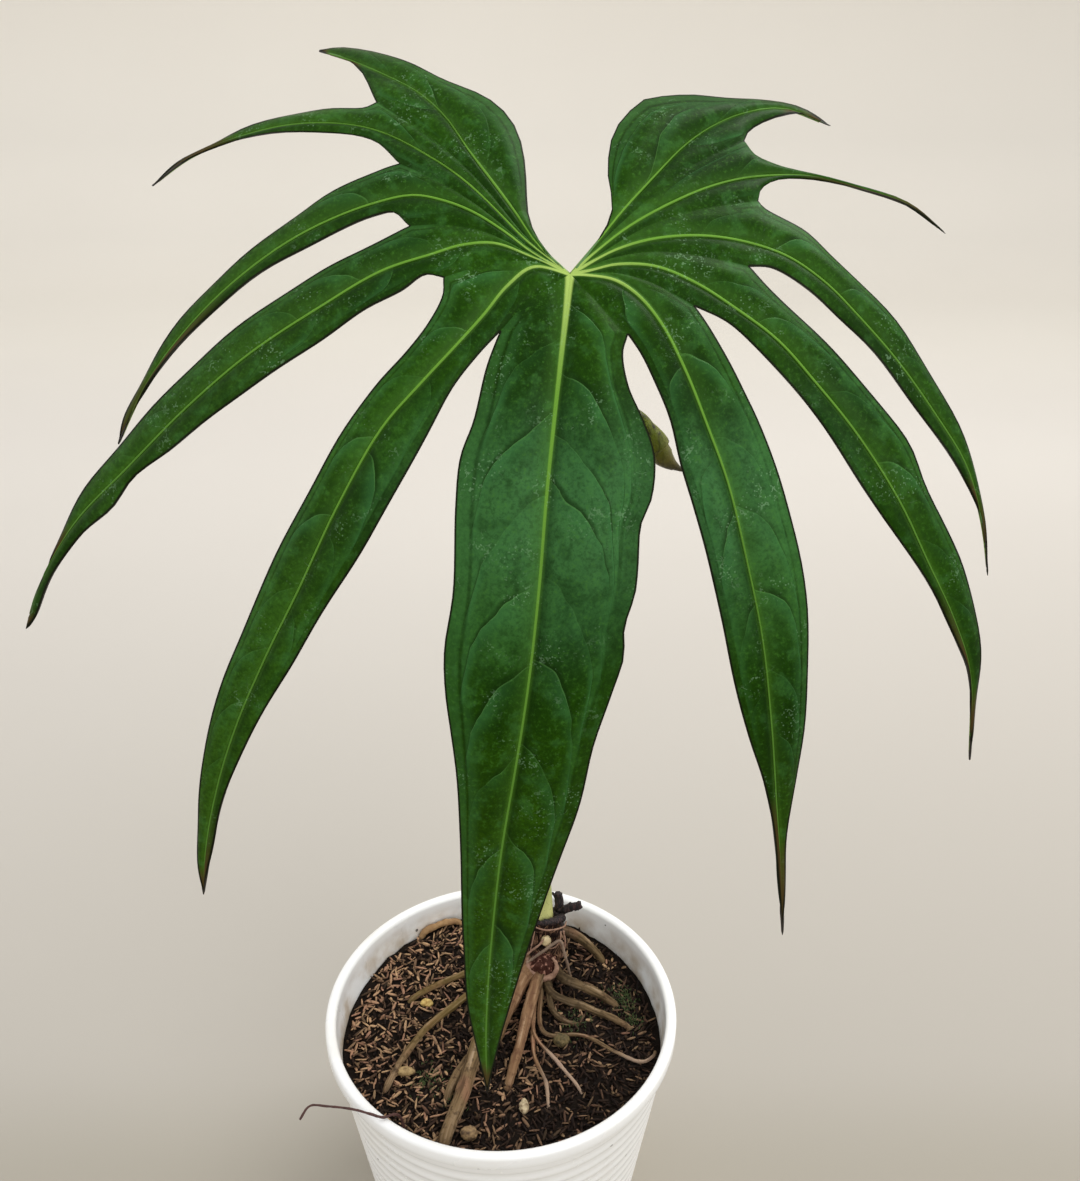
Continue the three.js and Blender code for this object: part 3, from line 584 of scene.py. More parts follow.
# %% [markdown]
# The sheet is a ladder of rows from rib to edge in each lobe. Where two lobes share a web their rows
# end on the same points, so the sheets merge into one. The rib stands in a groove, the blade arches
# beside it, and between the side veins it swells like a quilt. Each corner also keeps how far it is
# from the rib, the edge and the next side vein: the finish draws ribs, margins and veins from that.


# %% Where the side veins start and the edges run
def smooth_step(value):
    value = np.clip(value, 0, 1)
    return value * value * (3 - 2 * value)


def eased(part):
    return part - 0.5 * math.sin(2 * math.pi * part) / (2 * math.pi)


def vein_starts(number, sign, length):
    if (number, sign) in VEIN_STARTS:
        starts = VEIN_STARTS[number, sign]
    else:
        chance = random.Random(10 * number + sign)
        starts = [18 + 8 * chance.random()]
        while starts[-1] < length - 30:
            starts.append(starts[-1] + 24 + 16 * chance.random())
    ends = [starts[0] - 14, *starts, starts[-1] + 14]
    return ends, [-0.5, *range(len(starts)), len(starts) - 0.5]


def edge_line(web, edge, tip, notch):
    """A lobe's side as a function of the part along the web, or along the free edge after it."""
    if web:
        web_line = Line([(0, 0), *web])
        free_line = Line([web[-1], *edge, tip])
        return (lambda part, free: (free_line if free else web_line).at(part)), web_line.length
    whole = Line([(0, 0), *edge, tip])
    turn = whole.nearest(notch)
    return (lambda part, free: whole.at(turn + (1 - turn) * part if free else turn * eased(part))), None


# %% The ladder of one lobe
COLUMNS = 14
WEB_ROWS = 22
ROW_STEP = 4.2
MIDDLE_LOBE = 5
VEIN_LIMIT = {-1: 0.86, 1: 0.81}  # part of the half width where side veins run together


def lobe_ladder(number, lobe):
    web_before = WEBS[number - 1] if number else None
    web_after = WEBS[number] if number < len(WEBS) else None
    rib = Line([(0, 0), *lobe["rib"], lobe["tip"]])
    turn = np.mean([rib.nearest(web[-1]) for web in (web_before, web_after) if web])
    sides = [
        (-1, *edge_line(web_before, lobe["before"], lobe["tip"], (web_after or [None])[-1])),
        (1, *edge_line(web_after, lobe["after"], lobe["tip"], (web_before or [None])[-1])),
    ]
    free_rows = int(rib.length * (1 - turn) / ROW_STEP)
    mirror = -1 if number > MIDDLE_LOBE else 1  # a negative distance then means a lobe's outer half
    spread = (np.arange(COLUMNS + 1) / COLUMNS) ** 1.5
    ladder = [[] for _ in range(5)]
    for row in range(WEB_ROWS + free_rows + 1):
        free = row > WEB_ROWS
        part = eased((row - WEB_ROWS) / free_rows) if free else row / WEB_ROWS
        position = turn + (1 - turn) * part if free else turn * part
        middle = rib.at(position)
        along = position * rib.length
        thinned = 0.42 + 0.58 * math.exp(-along / 45) - 0.23 * position
        rib_half = RIB_HALF[number] * thinned + 0.5 * math.exp(-along / 9)
        halves = []
        for sign, line, web_length in sides:
            edge = line(part, free)
            width = float(np.linalg.norm(edge - middle))
            across = spread * width
            sewn = web_length is not None and not free
            web_left = (1 - part) * web_length if sewn else 0
            to_limit = spread / VEIN_LIMIT[sign]
            limit = np.minimum(to_limit, 0.985)
            vein_from = along + (0.42 + 0.35 * position) * max(width, 8) * np.log(1 - limit)
            phase = np.interp(vein_from, *vein_starts(number, sign, rib.length))
            settle = 1 if web_length is None else smooth_step(part / 0.15) if free else 0
            arch = 0.1 * width * np.sin(math.pi * spread / (1 - 0.1 * settle))
            size = min(1, along / 8) * min(1, width / 6) * (1 - 0.6 * position)
            ridge = 0.5 * np.exp(-((across / rib_half) ** 2))
            groove = 0.55 * np.exp(-(((across - 2.7 * rib_half) / (1.3 * rib_half)) ** 2))
            swell = np.abs(np.sin(math.pi * phase)) ** 0.7 - 0.6
            quilt = min(1, width / 26) * swell * np.sin(math.pi * np.minimum(to_limit, 1))
            ripple = 0.5 * np.sin(along / 8 + number) * spread**3 * settle
            lift = (ridge - groove) * size + (quilt + ripple) * min(1, along / 12)
            if sewn:
                lift = lift * (1 - spread**6)
            even = np.ones(COLUMNS + 1)
            halves.append([
                middle + (edge - middle) * spread[:, None],
                arch + lift,
                np.stack([mirror * sign * across / rib_half, (width - across + web_left) / 10], -1),
                np.stack([phase, spread], -1),
                np.stack([even * position, even * width / 50], -1),
            ])
        for rows, left, right in zip(ladder, *halves):
            rows.append(np.concatenate([left[::-1], right[1:]]))
    return [np.array(rows) for rows in ladder]


# %% Sew the lobes together
MAPS = ("ribs", "veins", "along")
points, faces, rib_routes = [], [], []
corner_maps = {name: [] for name in MAPS}
for number, lobe in enumerate(LOBES.values()):
    flat, height, *maps = lobe_ladder(number, lobe)
    rows, columns = flat.shape[:2]
    start = sum(len(p) for p in points)
    spots = drape(flat[..., 0], flat[..., 1], lobe)
    normals = facing(flat[..., 0], flat[..., 1], lobe)
    points.append((spots + normals * height[..., None]).reshape(-1, 3))
    sunk = 0.1 + RIB_HALF[number] * np.interp(np.linspace(0, 4, rows), range(5), CORD)
    rib_routes.append(spots[:, COLUMNS] + normals[:, COLUMNS] * (height[:, COLUMNS] - sunk)[:, None])
    index = np.arange(rows * columns).reshape(rows, columns)
    quads = np.stack([index[:-1, :-1], index[1:, :-1], index[1:, 1:], index[:-1, 1:]], -1).reshape(-1, 4)
    faces.extend((quads + start).tolist())
    for name, values in zip(MAPS, maps):
        corner_maps[name].append(values.reshape(-1, 2)[quads.ravel()])
blade = mesh_piece(np.vstack(points), faces, {name: np.vstack(maps) for name, maps in corner_maps.items()})
merge_and_orient(blade, 0.00008, outwards=False)
print("sheet:", len(blade.data.polygons), "faces")

# %% [markdown]
# The glossy green is not one green. Noise makes it darker and lighter in broad clouds, in patches and in a
# fine grain. It is lighter at the left, darker at the lower right and more olive low down. In the middle of
# the leaf a paler, bluer patch is a painted sheen, the sky's reflection painted into the colour.

# %% The leaf's greens
leaf = Finish("leaf_top", 0.36, 0.09)
leaf.set("Specular Tint", (0.75, 1.0, 0.6, 1))
leaf.set("Roughness", leaf.math("MULTIPLY_ADD", leaf.noise(30), 0.16, 0.3))
x, _, z = leaf.parts()
leaf.ground(leaf.step(leaf.noise(16, 4), 0.35, 0.65), (17, 48, 0), (35, 73, 2))
# Painted sheen: a paler, bluer patch where the middle of the leaf reflects the sky.
lit_band = leaf.times(leaf.step(z, 0.37, 0.44), leaf.step(z, 0.49, 0.45))
lit = leaf.times(lit_band, leaf.step(x, -0.06, 0.02), leaf.step(x, 0.16, 0.08))
painted_sheen_share = leaf.math("MULTIPLY_ADD", lit, 0.55, 0.02)
leaf.tint((42, 92, 48), leaf.step(leaf.noise(9, 3), 0.48, 0.66), painted_sheen_share)
leaf.tint((70, 124, 70), lit, 0.62)
leaf.tint((66, 104, 34), leaf.step(x, -0.02, -0.1), 0.3)
leaf.tint((14, 44, 0), leaf.step(x, 0.06, 0.13), leaf.step(z, 0.42, 0.34), 0.45)
leaf.tint((50, 80, 0), leaf.step(z, 0.38, 0.28), 0.5)
patches = leaf.noise(140, 4)
leaf.tint((12, 42, 2), leaf.step(patches, 0.5, 0.36), 0.34)
leaf.tint((64, 116, 56), leaf.step(patches, 0.52, 0.68), 0.3)
fine = leaf.noise(600, 5, rough=0.7)
leaf.tint((12, 40, 2), leaf.step(fine, 0.54, 0.36), 0.4)
leaf.tint((66, 116, 38), leaf.step(fine, 0.52, 0.72), 0.5)

# %% [markdown]
# Side veins: the blade swells between them, with a painted highlight on the side of each vein that faces the
# tip and a painted shade on the other, where it dips. They run into one last vein along the margin. Each lobe
# is folded at its rib, so painted light makes its outer half paler, beside the rib and along the margin, and
# painted shade makes its inner half darker there.

# %% Side veins
across, edge_distance, _ = leaf.parts("ribs")
vein_phase, width_part, _ = leaf.parts("veins")
length_part, half_width, _ = leaf.parts("along")
outer_half = leaf.math("LESS_THAN", across, 0.0)
inner_half = leaf.math("SUBTRACT", 1.0, outer_half)
wander = leaf.math("MULTIPLY_ADD", leaf.noise(38, 2), 0.5, -0.25)
after_vein = leaf.math("FRACT", leaf.math("ADD", vein_phase, wander))
wide_lobe = leaf.step(half_width, 0.12, 0.3)
seen_here = leaf.math("MULTIPLY_ADD", leaf.step(leaf.noise(26, 2), 0.4, 0.6), 0.75, 0.25)
veined = leaf.times(leaf.step(width_part, 0.84, 0.76), wide_lobe, seen_here)
# Painted highlight on the side of each vein towards the tip, and painted shade on the side where the blade
# dips.
leaf.tint((60, 116, 64), leaf.step(after_vein, 0.4, 0.0), veined, leaf.step(width_part, 0.0, 0.5), 0.4)
leaf.tint((14, 40, 4), leaf.step(after_vein, 0.86, 0.99), veined, 0.74)
on_vein = leaf.times(leaf.step(after_vein, 0.028, 0.006), veined)
leaf.tint((98, 148, 74), on_vein, 0.26)
free_edge = leaf.times(leaf.step(edge_distance, 1.3, 0.8), wide_lobe)
last_vein = leaf.step(leaf.off(width_part, 0.8), 0.035, 0.008)
# Painted shade in the groove of the last vein, and a painted highlight on the swell inside it.
leaf.tint((18, 46, 6), last_vein, free_edge, seen_here, 0.48)
leaf.tint((64, 118, 60), leaf.step(width_part, 0.5, 0.74), leaf.step(width_part, 0.8, 0.76), free_edge, 0.22)
# Painted light on the margin of a lobe's outer half, painted shade on the margin of its inner half.
margin = leaf.times(leaf.step(width_part, 0.8, 0.86), free_edge)
leaf.tint((66, 120, 58), margin, outer_half, 0.26)
leaf.tint((24, 50, 12), margin, inner_half, 0.3)
leaf.bump(leaf.math("ADD", leaf.times(fine, 0.3), leaf.times(on_vein, -0.7)), 0.0006, 0.6)

# %% [markdown]
# Each rib is a thin yellow-green line, palest where the lobes meet. Fine pale dots, dashes and curls in loose
# clusters are painted glints of the gloss. Thin tails dry to brown, and the last half millimetre before the
# edge is nearly black. The underside is paler and plainer.

# %% Ribs, painted glints and edges
off_rib = leaf.times(width_part, half_width)
# Painted shade beside the rib on a lobe's inner half, and painted light on its outer half, for the fold at
# the rib.
leaf.tint((12, 38, 4), leaf.step(off_rib, 0.12, 0.015), inner_half, 0.58)
leaf.tint((82, 132, 50), leaf.step(off_rib, 0.15, 0.02), outer_half, leaf.step(length_part, 1.1, 0.1), 0.24)
leaf.tint((94, 146, 44), leaf.step(off_rib, 0.045, 0.01), 0.2)
rib_green = leaf.mix(leaf.step(length_part, 0.0, 0.14), (164, 190, 96), (108, 156, 54))
rib_green = leaf.mix(leaf.step(length_part, 0.15, 0.8), rib_green, (94, 140, 54))
on_rib = leaf.step(leaf.math("ABSOLUTE", across), 1.05, 0.45)
leaf.tint(rib_green, on_rib, leaf.math("MULTIPLY_ADD", length_part, -0.35, 1.0))
# Painted glints: fine pale dots, dashes and curls in loose clusters, on the gloss.
dots = leaf.math("LESS_THAN", leaf.cells(600), 0.2)
dashes = leaf.step(leaf.streaks((560, 560, 900), 2), 0.66, 0.7)
curls = leaf.step(leaf.off(leaf.noise(260, 2), 0.5), 0.034, 0.016)
curls = leaf.times(curls, leaf.step(leaf.noise(330, 2), 0.56, 0.6))
painted_glints = leaf.math("MAXIMUM", leaf.math("MAXIMUM", dots, dashes), curls)
leaf.tint((146, 186, 140), painted_glints, leaf.step(leaf.noise(60, 4), 0.5, 0.68), 0.3)
tail = leaf.times(leaf.step(half_width, 0.075, 0.035), leaf.step(length_part, 0.4, 0.55))
leaf.tint((74, 52, 28), leaf.math("MAXIMUM", tail, leaf.step(length_part, 0.97, 1.0)), 0.9)
leaf.tint((20, 20, 10), leaf.step(edge_distance, 0.11, 0.05))
print("upper side:", len(leaf.tree.nodes), "nodes")

# %% The underside
under = Finish("leaf_under", 0.5)
edge_distance = under.parts("ribs")[1]
vein_phase, width_part, _ = under.parts("veins")
under.ground(under.noise(18, 3), (62, 104, 48), (92, 134, 66))
on_vein = under.step(under.math("FRACT", vein_phase), 0.06, 0.01)
under.tint((132, 162, 84), on_vein, under.step(width_part, 0.84, 0.78), 0.6)
under.tint((32, 26, 16), under.step(edge_distance, 0.1, 0.04))
under.bump(under.noise(300, 3), 0.0003, 0.5)
print("underside:", len(under.tree.nodes), "nodes")

# %% [markdown]
# The sheet gets its thickness to both sides, and its second material on the back and the rim. From
# behind, each rib is a round cord that stands out of the blade and thins towards the tip.

# %% Thickness, and ribs on the underside
select_only(blade)
blade.data.materials.append(leaf.material)
blade.data.materials.append(under.material)
bpy.ops.object.modifier_add(type="SOLIDIFY")
solidify = blade.modifiers[-1]
solidify.thickness = BLADE_THICKNESS * MM
solidify.offset = 0
solidify.material_offset = 1
solidify.material_offset_rim = 1
bpy.ops.object.modifier_apply(modifier=solidify.name)
finish_piece(blade, "cut_leaf", None, "leaf_green", "leaf_blade")
bpy.ops.object.shade_smooth_by_angle(angle=math.radians(60))

rib_skin = speckled("rib_skin", 0.45, (60,), (120, 150, 62), (150, 172, 88), (400,), 0.0002, 0.5)
ribs = []
for half, route in zip(RIB_HALF, rib_routes):
    rings = np.linspace(0, len(route) - 3, 26).astype(int)
    ribs.append(tube(route[rings], [half * width for width in CORD], 8, 60))
finish_piece(joined(ribs), "leaf_ribs", rib_skin, "leaf_green")

# %% [markdown]
# ## The two leaf stalks
# The long stalk is swollen and yellow-green where it leaves the rootstock, slim and ridged above,
# and has a thicker pale joint under the blade. The young leaf's stalk is thinner and runs behind it.

# %% Leaf stalks
stalk_skin = Finish("stalk_skin", 0.42)
ridges = stalk_skin.streaks((900, 900, 14))
height = stalk_skin.parts()[2]
stalk_skin.ground(ridges, (70, 104, 38), (112, 142, 62))
stalk_skin.tint((208, 206, 132), stalk_skin.step(height, 0.215, 0.168))
stalk_skin.tint((148, 176, 84), stalk_skin.step(height, 0.488, 0.512), 0.8)
stalk_skin.tint((52, 66, 28), stalk_skin.math("LESS_THAN", stalk_skin.cells(600), 0.2), 0.3)
stalk_skin.bump(ridges, 0.0004, 0.6)

PETIOLE = [
    (22, 42, 164), (22, 43, 180), (24, 48, 250), (29, 47, 380),
    (32, 38, 470), (32, 29, 505), (31.5, 20.8, 518),
]
PETIOLE_HALVES = [5.4, 3, 2.7, 2.6, 2.5, 2.5, 2.5, 2.5, 2.6, 3.2, 3]
YOUNG_STALK = [
    (17, 47, 148), (15, 50, 160), (13.5, 52, 180), (17, 59, 250),
    (28, 60, 340), (42, 50, 410), (53, 38, 448), (57, 31.5, 458),
]
petiole = roughen(tube(PETIOLE, PETIOLE_HALVES, 24, 150), 6, 0.25, (0.35, 0.35, 5))
finish_piece(petiole, "leaf_stalk", stalk_skin, "stalk_green", "leaf_petiole")
young_stalk = roughen(tube(YOUNG_STALK, [3.2, 2.4, 2, 1.9, 1.8, 1.8, 1.9], 16, 130), 5, 0.2, (0.4, 0.4, 5), 3)
finish_piece(young_stalk, "young_leaf_stalk", stalk_skin, "stalk_green", "young_petiole")

# %% [markdown]
# ## The young leaf
# A new leaf comes out rolled up. It is a soft spindle with a tail, and the free edge of the roll
# runs down it as a raised spiral. It is olive green where it joins the stalk and brown at the end.

# %% Young leaf
YOUNG_LEAF = [
    (56.5, 32.5, 457.5), (58, 29.5, 460), (60.5, 28.5, 458.5), (64.5, 28, 452.5),
    (68.8, 28, 446.5), (72.5, 28, 440.8), (76.6, 28, 437.2), (80.5, 28, 434.8),
]
ROLL_RINGS = 90
young_skin = Finish("young_skin", 0.4)
height = young_skin.parts()[2]
young_skin.ground(young_skin.step(height, 0.436, 0.458), (102, 88, 16), (138, 146, 38))
young_skin.tint((56, 38, 18), young_skin.step(height, 0.441, 0.434))
streaks = young_skin.streaks((500, 500, 120))
young_skin.tint((58, 52, 14), young_skin.step(streaks, 0.4, 0.75))
young_skin.bump(streaks, 0.0004, 0.5)

roll = tube(YOUNG_LEAF, [1.6, 3, 4.2, 5.2, 5.6, 5.0, 2.6, 0.5], 32, ROLL_RINGS)
route = Line(YOUNG_LEAF)
centres = np.array([route.at(part) for part in np.linspace(0, 1, ROLL_RINGS + 1)])
for vertex in roll.data.vertices:
    spot = np.array(vertex.co) / MM
    nearest = int(np.argmin(np.sum((spot - centres) ** 2, axis=1)))
    away = spot - centres[nearest]
    turn = (math.atan2(away[2], away[0]) / (2 * math.pi) + nearest / 60) % 1
    vertex.co = Vector((centres[nearest] + away * (0.86 + 0.16 * turn)) * MM)
finish_piece(roughen(roll, 7, 0.3), "furled_leaf", young_skin, "young_olive", "young_leaf")

# %% [markdown]
# ## The rootstock
# The stem is short and thick, dark reddish brown and ringed with old leaf scars. Stout tan roots run
# out of it over the mix and dive in. Each is a tube with a knobbly skin, and roots of several widths
# start at different heights, as in the photograph.

# %% Routes of the stem and the roots
STEM = [(22, 38, 112), (22, 39, 135), (23, 42, 155), (23, 43, 171)]
ROOTS = [
    ([(16, 36, 143), (-1, 10, 143), (-11, -15, 139), (-18, -41, 135), (-25, -63, 130), (-27, -68, 118)],
     [4.5, 4.2, 4, 3.6, 3.2]),
    ([(14, 34, 140), (-6, -4, 139), (-13, -17, 136), (-24, -36, 133), (-28, -46, 118)], [3, 2.5, 2.4, 2]),
    ([(21, 36, 142), (15, 9, 141), (10, -12, 137), (4, -34, 130), (2, -39, 118)], [3.6, 3.2, 2.6, 2]),
    ([(17, 36, 142), (9, 22, 142), (1, 3, 137), (-4, -6, 130), (-6, -10, 118)], [5, 4.6, 3.8, 3]),
    ([(16, 40, 142), (-2, 33, 140), (-19, 16, 139), (-41, -5, 135), (-56, -33, 130), (-60, -38, 118)],
     [2.3, 1.9, 1.8, 1.5]),
    ([(16, 41, 138), (-2, 40, 137), (-22, 36, 134), (-49, 22, 130), (-55, 19, 118)], [2.2, 2, 1.8, 1.5]),
    ([(25, 38, 142), (31, 28, 141), (47, 21, 138), (59, 18, 131), (64, 18, 118)], [3.1, 2.6, 2.3, 1.8]),
    ([(23, 36, 138), (26, 19, 138), (46, 10, 136), (66, 3, 130), (70, 2, 118)], [2.7, 2.2, 1.9, 1.5]),
    ([(24, 36, 137), (27, 8, 136), (36, 2, 134), (48, 6, 130), (52, 8, 118)], [1.9, 1.6, 1.4, 1.2]),
    ([(22, 36, 137), (22, -5, 135), (42, -6, 134), (59, -16, 133), (72, -21, 132), (78, -17, 132),
      (79, -14, 131)], [1.6, 1.2, 0.95, 0.8]),
    ([(20, 36, 138), (17, -8, 138), (29, -24, 135), (40, -37, 130), (43, -41, 120)], [1.5, 0.95, 0.7]),
    ([(18, 34, 137), (17, -20, 136), (23, -35, 133), (24, -46, 129), (25, -49, 120)], [1.6, 1.0, 0.75]),
    ([(24, 46, 144), (28, 58, 145), (36, 59, 143), (52, 50, 135), (57, 47, 120)], [3, 2.6, 2.4, 2]),
]
print("roots:", len(ROOTS))

# %% [markdown]
# The bark is tan with pinkish clouds, dark grooves and pale ridges that run along each root, and darker
# blotches. The roots at the left are more olive, the thin ones in front are paler, and those behind are a
# darker olive, with painted shade on them close to the stem.

# %% Bark
bark = Finish("root_bark", 0.8, DULL)
x, y, _ = bark.parts()
wrinkles = bark.noise(420, 5)
streaks = bark.streaks((4, 8, 1), place=bark.node("UVMap", uv_map="UVMap"))
bark.ground(bark.noise(20, 3), (104, 86, 54), (140, 112, 84))
bark.tint((168, 114, 94), bark.step(bark.noise(44, 2), 0.52, 0.66), 0.35)
bark.tint((54, 38, 24), bark.step(streaks, 0.52, 0.36), 0.7)
bark.tint((196, 170, 140), bark.step(streaks, 0.5, 0.72), 0.6)
bark.tint((52, 36, 24), bark.step(bark.noise(170, 4, rough=0.7), 0.52, 0.64), 0.6)
bark.tint((44, 30, 22), bark.step(wrinkles, 0.54, 0.68), bark.step(bark.noise(90, 3), 0.42, 0.58), 0.55)
bark.tint((112, 94, 40), bark.step(x, 0.006, -0.004), bark.step(y, -0.03, 0.0), 0.4)
bark.tint((160, 108, 80), bark.step(x, -0.002, 0.006), bark.step(x, 0.023, 0.017), 0.24)
right = bark.step(x, 0.018, 0.026)
bark.tint((206, 178, 158), right, bark.step(y, -0.014, -0.022), 0.45)
behind = bark.times(right, bark.step(y, -0.014, 0.0))
bark.tint((74, 66, 38), behind, 0.25)
# Painted shade on the roots behind, close to the stem.
bark.tint((34, 26, 16), behind, bark.step(x, 0.048, 0.034), 0.5)
bark.bump(bark.math("ADD", streaks, bark.times(wrinkles, 0.5)), 0.0007, 0.9)

stem_bark = Finish("stem_bark", 0.75, DULL)
wrinkles = stem_bark.noise(300, 5)
stem_bark.ground(stem_bark.noise(60, 3), (16, 9, 8), (54, 32, 24))
stem_bark.tint((122, 88, 64), stem_bark.step(wrinkles, 0.58, 0.74))
stem_bark.bump(wrinkles, 0.0008, 0.9)
print("barks:", len(bark.tree.nodes), "and", len(stem_bark.tree.nodes), "nodes")

# %% Stem and roots
SCAR_PITCH = 6.5
roots = []
for number, (route, halves) in enumerate(ROOTS):
    root = tube(route, halves, 16 if halves[0] > 2.5 else 12, 70)
    roots.append(roughen(roughen(root, 9, 0.16 * halves[0], seed=number), 2.2, 0.22, seed=number + 40))
finish_piece(joined(roots), "surface_roots", bark, "root_tan", "rootstock")

stem = tube(STEM, [7, 8.5, 8, 6.5], 40, 60)
for vertex in stem.data.vertices:
    ring = abs(math.sin(vertex.co.z / MM * math.pi / SCAR_PITCH)) ** 3
    vertex.co += vertex.normal * (0.6 * ring - 0.3) * MM
finish_piece(roughen(roughen(stem, 5, 1.2), 1.6, 0.4), "stem", stem_bark, "root_tan", "rootstock")

# %% [markdown]
# The old bud on the stem's front is a dark bumpy cheek with a raised, paler ring round its lower
# side. The cheek is a pressed ball and the ring is a tube that follows its edge. Above them sits a
# small cream-coloured knob.

# %% Old bud and cream knob
BUD_SPOT = Vector((21.8, 31.5, 146.5)) * MM
BUD_FACING = Vector((0.1, -0.8, 0.6)).normalized()
BUD_RADIUS = 7.4
BUD_RING = [
    (13.5, 33, 150), (13.6, 29.5, 146.5), (16.8, 27, 143.3), (23.7, 26, 141.7), (28.2, 27, 144.9),
    (28.6, 28.5, 149.2), (26.5, 30.5, 152),
]
bud_skin = Finish("bud_skin", 0.7, DULL)
bud_skin.ground(bud_skin.noise(260, 4), (24, 10, 8), (92, 52, 40))
bud_skin.tint((180, 132, 112), bud_skin.step(bud_skin.streaks((700, 700, 200)), 0.54, 0.66))
bud_skin.bump(bud_skin.noise(500, 4), 0.0004, 0.8)
bpy.ops.mesh.primitive_uv_sphere_add(segments=40, ring_count=28, radius=BUD_RADIUS * MM)
bud = bpy.context.object
bpy.ops.transform.resize(value=(1, 0.9, 0.6))
apply_transform()
bud.rotation_euler = BUD_FACING.to_track_quat("Z", "Y").to_euler()
bud.location = BUD_SPOT
apply_transform()
roughen(roughen(bud, 3, 1.4, (0.7, 0.7, 2), seed=2), 1.0, 0.3)
finish_piece(bud, "old_bud", bud_skin, "root_tan", "rootstock")

ring_skin = speckled("ring_skin", 0.65, (300, 4), (96, 62, 46), (188, 148, 122), (600,), 0.0004, 0.8)
bud_ring = roughen(tube(BUD_RING, [0.9, 1.4, 1.7, 1.8, 1.6, 1.3, 0.7], 14, 70), 2.5, 0.5, seed=12)
finish_piece(bud_ring, "old_bud_ring", ring_skin, "root_tan")

cream = speckled("cream_knob", 0.55, (350,), (232, 214, 168), (184, 158, 112), (700,), 0.0003, 0.6)
KNOB_RADIUS, KNOB_SPOT = 0.003, (0.0232, 0.0342, 0.1605)  # m
bpy.ops.mesh.primitive_ico_sphere_add(subdivisions=4, radius=KNOB_RADIUS, location=KNOB_SPOT)
knob = bpy.context.object
bpy.ops.transform.resize(value=(0.9, 0.8, 1.15))
apply_transform()
finish_piece(roughen(knob, 2, 0.4, seed=8), "cream_knob", cream, "root_tan")

# %% [markdown]
# Brown fibres and papery shreds hang round the stem. Each is a thin tube that starts on the bark,
# wanders round it and ends lower down or on a root. All of them are one piece, so they are built as
# plain points and faces, which is far quicker than hundreds of curves.


# %% Thin strands
STRAND_UP = (0.31, 0.17, 0.93)  # a slanting direction that no strand follows for long


def strand(points, halves, sides=4):
    """Points and faces of a thin closed strand, in millimetres."""
    points = np.array(points, float)
    halves = np.array(halves)[:, None]
    along = np.gradient(points, axis=0)
    along /= np.linalg.norm(along, axis=1, keepdims=True)
    side = np.cross(along, STRAND_UP)
    side /= np.linalg.norm(side, axis=1, keepdims=True)
    other = np.cross(along, side)
    turns = np.arange(sides) * 2 * math.pi / sides
    corners = [points + halves * (side * math.cos(turn) + other * math.sin(turn)) for turn in turns]
    last = (len(points) - 1) * sides
    faces = []
    for ring in range(0, last, sides):
        for k in range(sides):
            a, b = ring + k, ring + (k + 1) % sides
            faces.append((a, b, b + sides, a + sides))
    faces.append(tuple(range(sides))[::-1])
    faces.append(tuple(range(last, last + sides)))
    return np.stack(corners, 1).reshape(-1, 3), faces


def strands_piece(all_strands):
    points, faces, start = [], [], 0
    for strand_points, strand_faces in all_strands:
        points.append(strand_points)
        faces.extend([tuple(i + start for i in face) for face in strand_faces])
        start += len(strand_points)
    return mesh_piece(np.vstack(points), faces)


# %% Fibres on the stem
FIBRES = 260
FIBRE_TAPER = np.array([0.6, 1, 1, 1, 1, 1, 0.9, 0.7, 0.25])
STEM_SKIN = 7.6  # distance of the fibres from the stem's middle, mm
stem_line = Line(STEM)
chance = random.Random(21)
fibres = []
for _ in range(FIBRES):
    part = chance.uniform(0.35, 1.0)
    turn = chance.uniform(0, 2 * math.pi)
    spin = chance.uniform(-1.6, 1.6)
    drop = chance.uniform(0.08, 0.5)
    path = []
    for k in range(9):
        bulge = STEM_SKIN + 1.6 * math.sin(k * 0.9 + turn) * chance.uniform(0.3, 1)
        bulge += 1.4 * chance.random() * k / 8
        angle = turn + spin * k / 8 + chance.uniform(-0.08, 0.08)
        centre = stem_line.at(max(0.28, part - drop * k / 8))
        path.append(centre + np.array([math.cos(angle), math.sin(angle), 0]) * bulge)
    fibres.append(strand(path, chance.uniform(0.12, 0.42) * FIBRE_TAPER))
fibre_brown = Finish("fibre_brown", 0.8, DULL)
fibre_brown.ground(fibre_brown.step(fibre_brown.noise(240, 2), 0.35, 0.65), (20, 12, 9), (140, 106, 82))
fibre_brown.bump(fibre_brown.noise(900, 2), 0.0002, 0.6)
finish_piece(strands_piece(fibres), "stem_fibres", fibre_brown, "root_tan")

# %% [markdown]
# A few stouter fibres are seen one by one: a hoop under the collar, two that cross the front and two
# that hang at the sides.

# %% Stout fibres
STOUT = [
    ([(14, 40, 169), (17.6, 34.2, 170.2), (24.2, 32.6, 169.6), (32.5, 35.5, 169.3), (34, 41, 168)], 0.45),
    ([(11.5, 33, 150.5), (13, 31.8, 152.8), (16.1, 31.6, 156.7), (19.6, 31.6, 160.3), (22, 33, 163)], 0.6),
    ([(17, 33.5, 168), (16.2, 32.6, 163), (15.2, 32.2, 158), (14.6, 32.4, 154)], 0.4),
    ([(31, 33.5, 168), (30.6, 32.2, 163), (28, 31.4, 158.6), (25, 31.2, 157.6)], 0.4),
    ([(32.4, 36, 166), (33.4, 34.6, 160), (32.8, 33.4, 154), (31.6, 32.6, 150)], 0.5),
]
stout = [roughen(tube(path, [w, w, 0.8 * w], 8, 40), 2, 0.2, seed=k) for k, (path, w) in enumerate(STOUT)]
finish_piece(joined(stout), "stout_fibres", ring_skin, "root_tan")

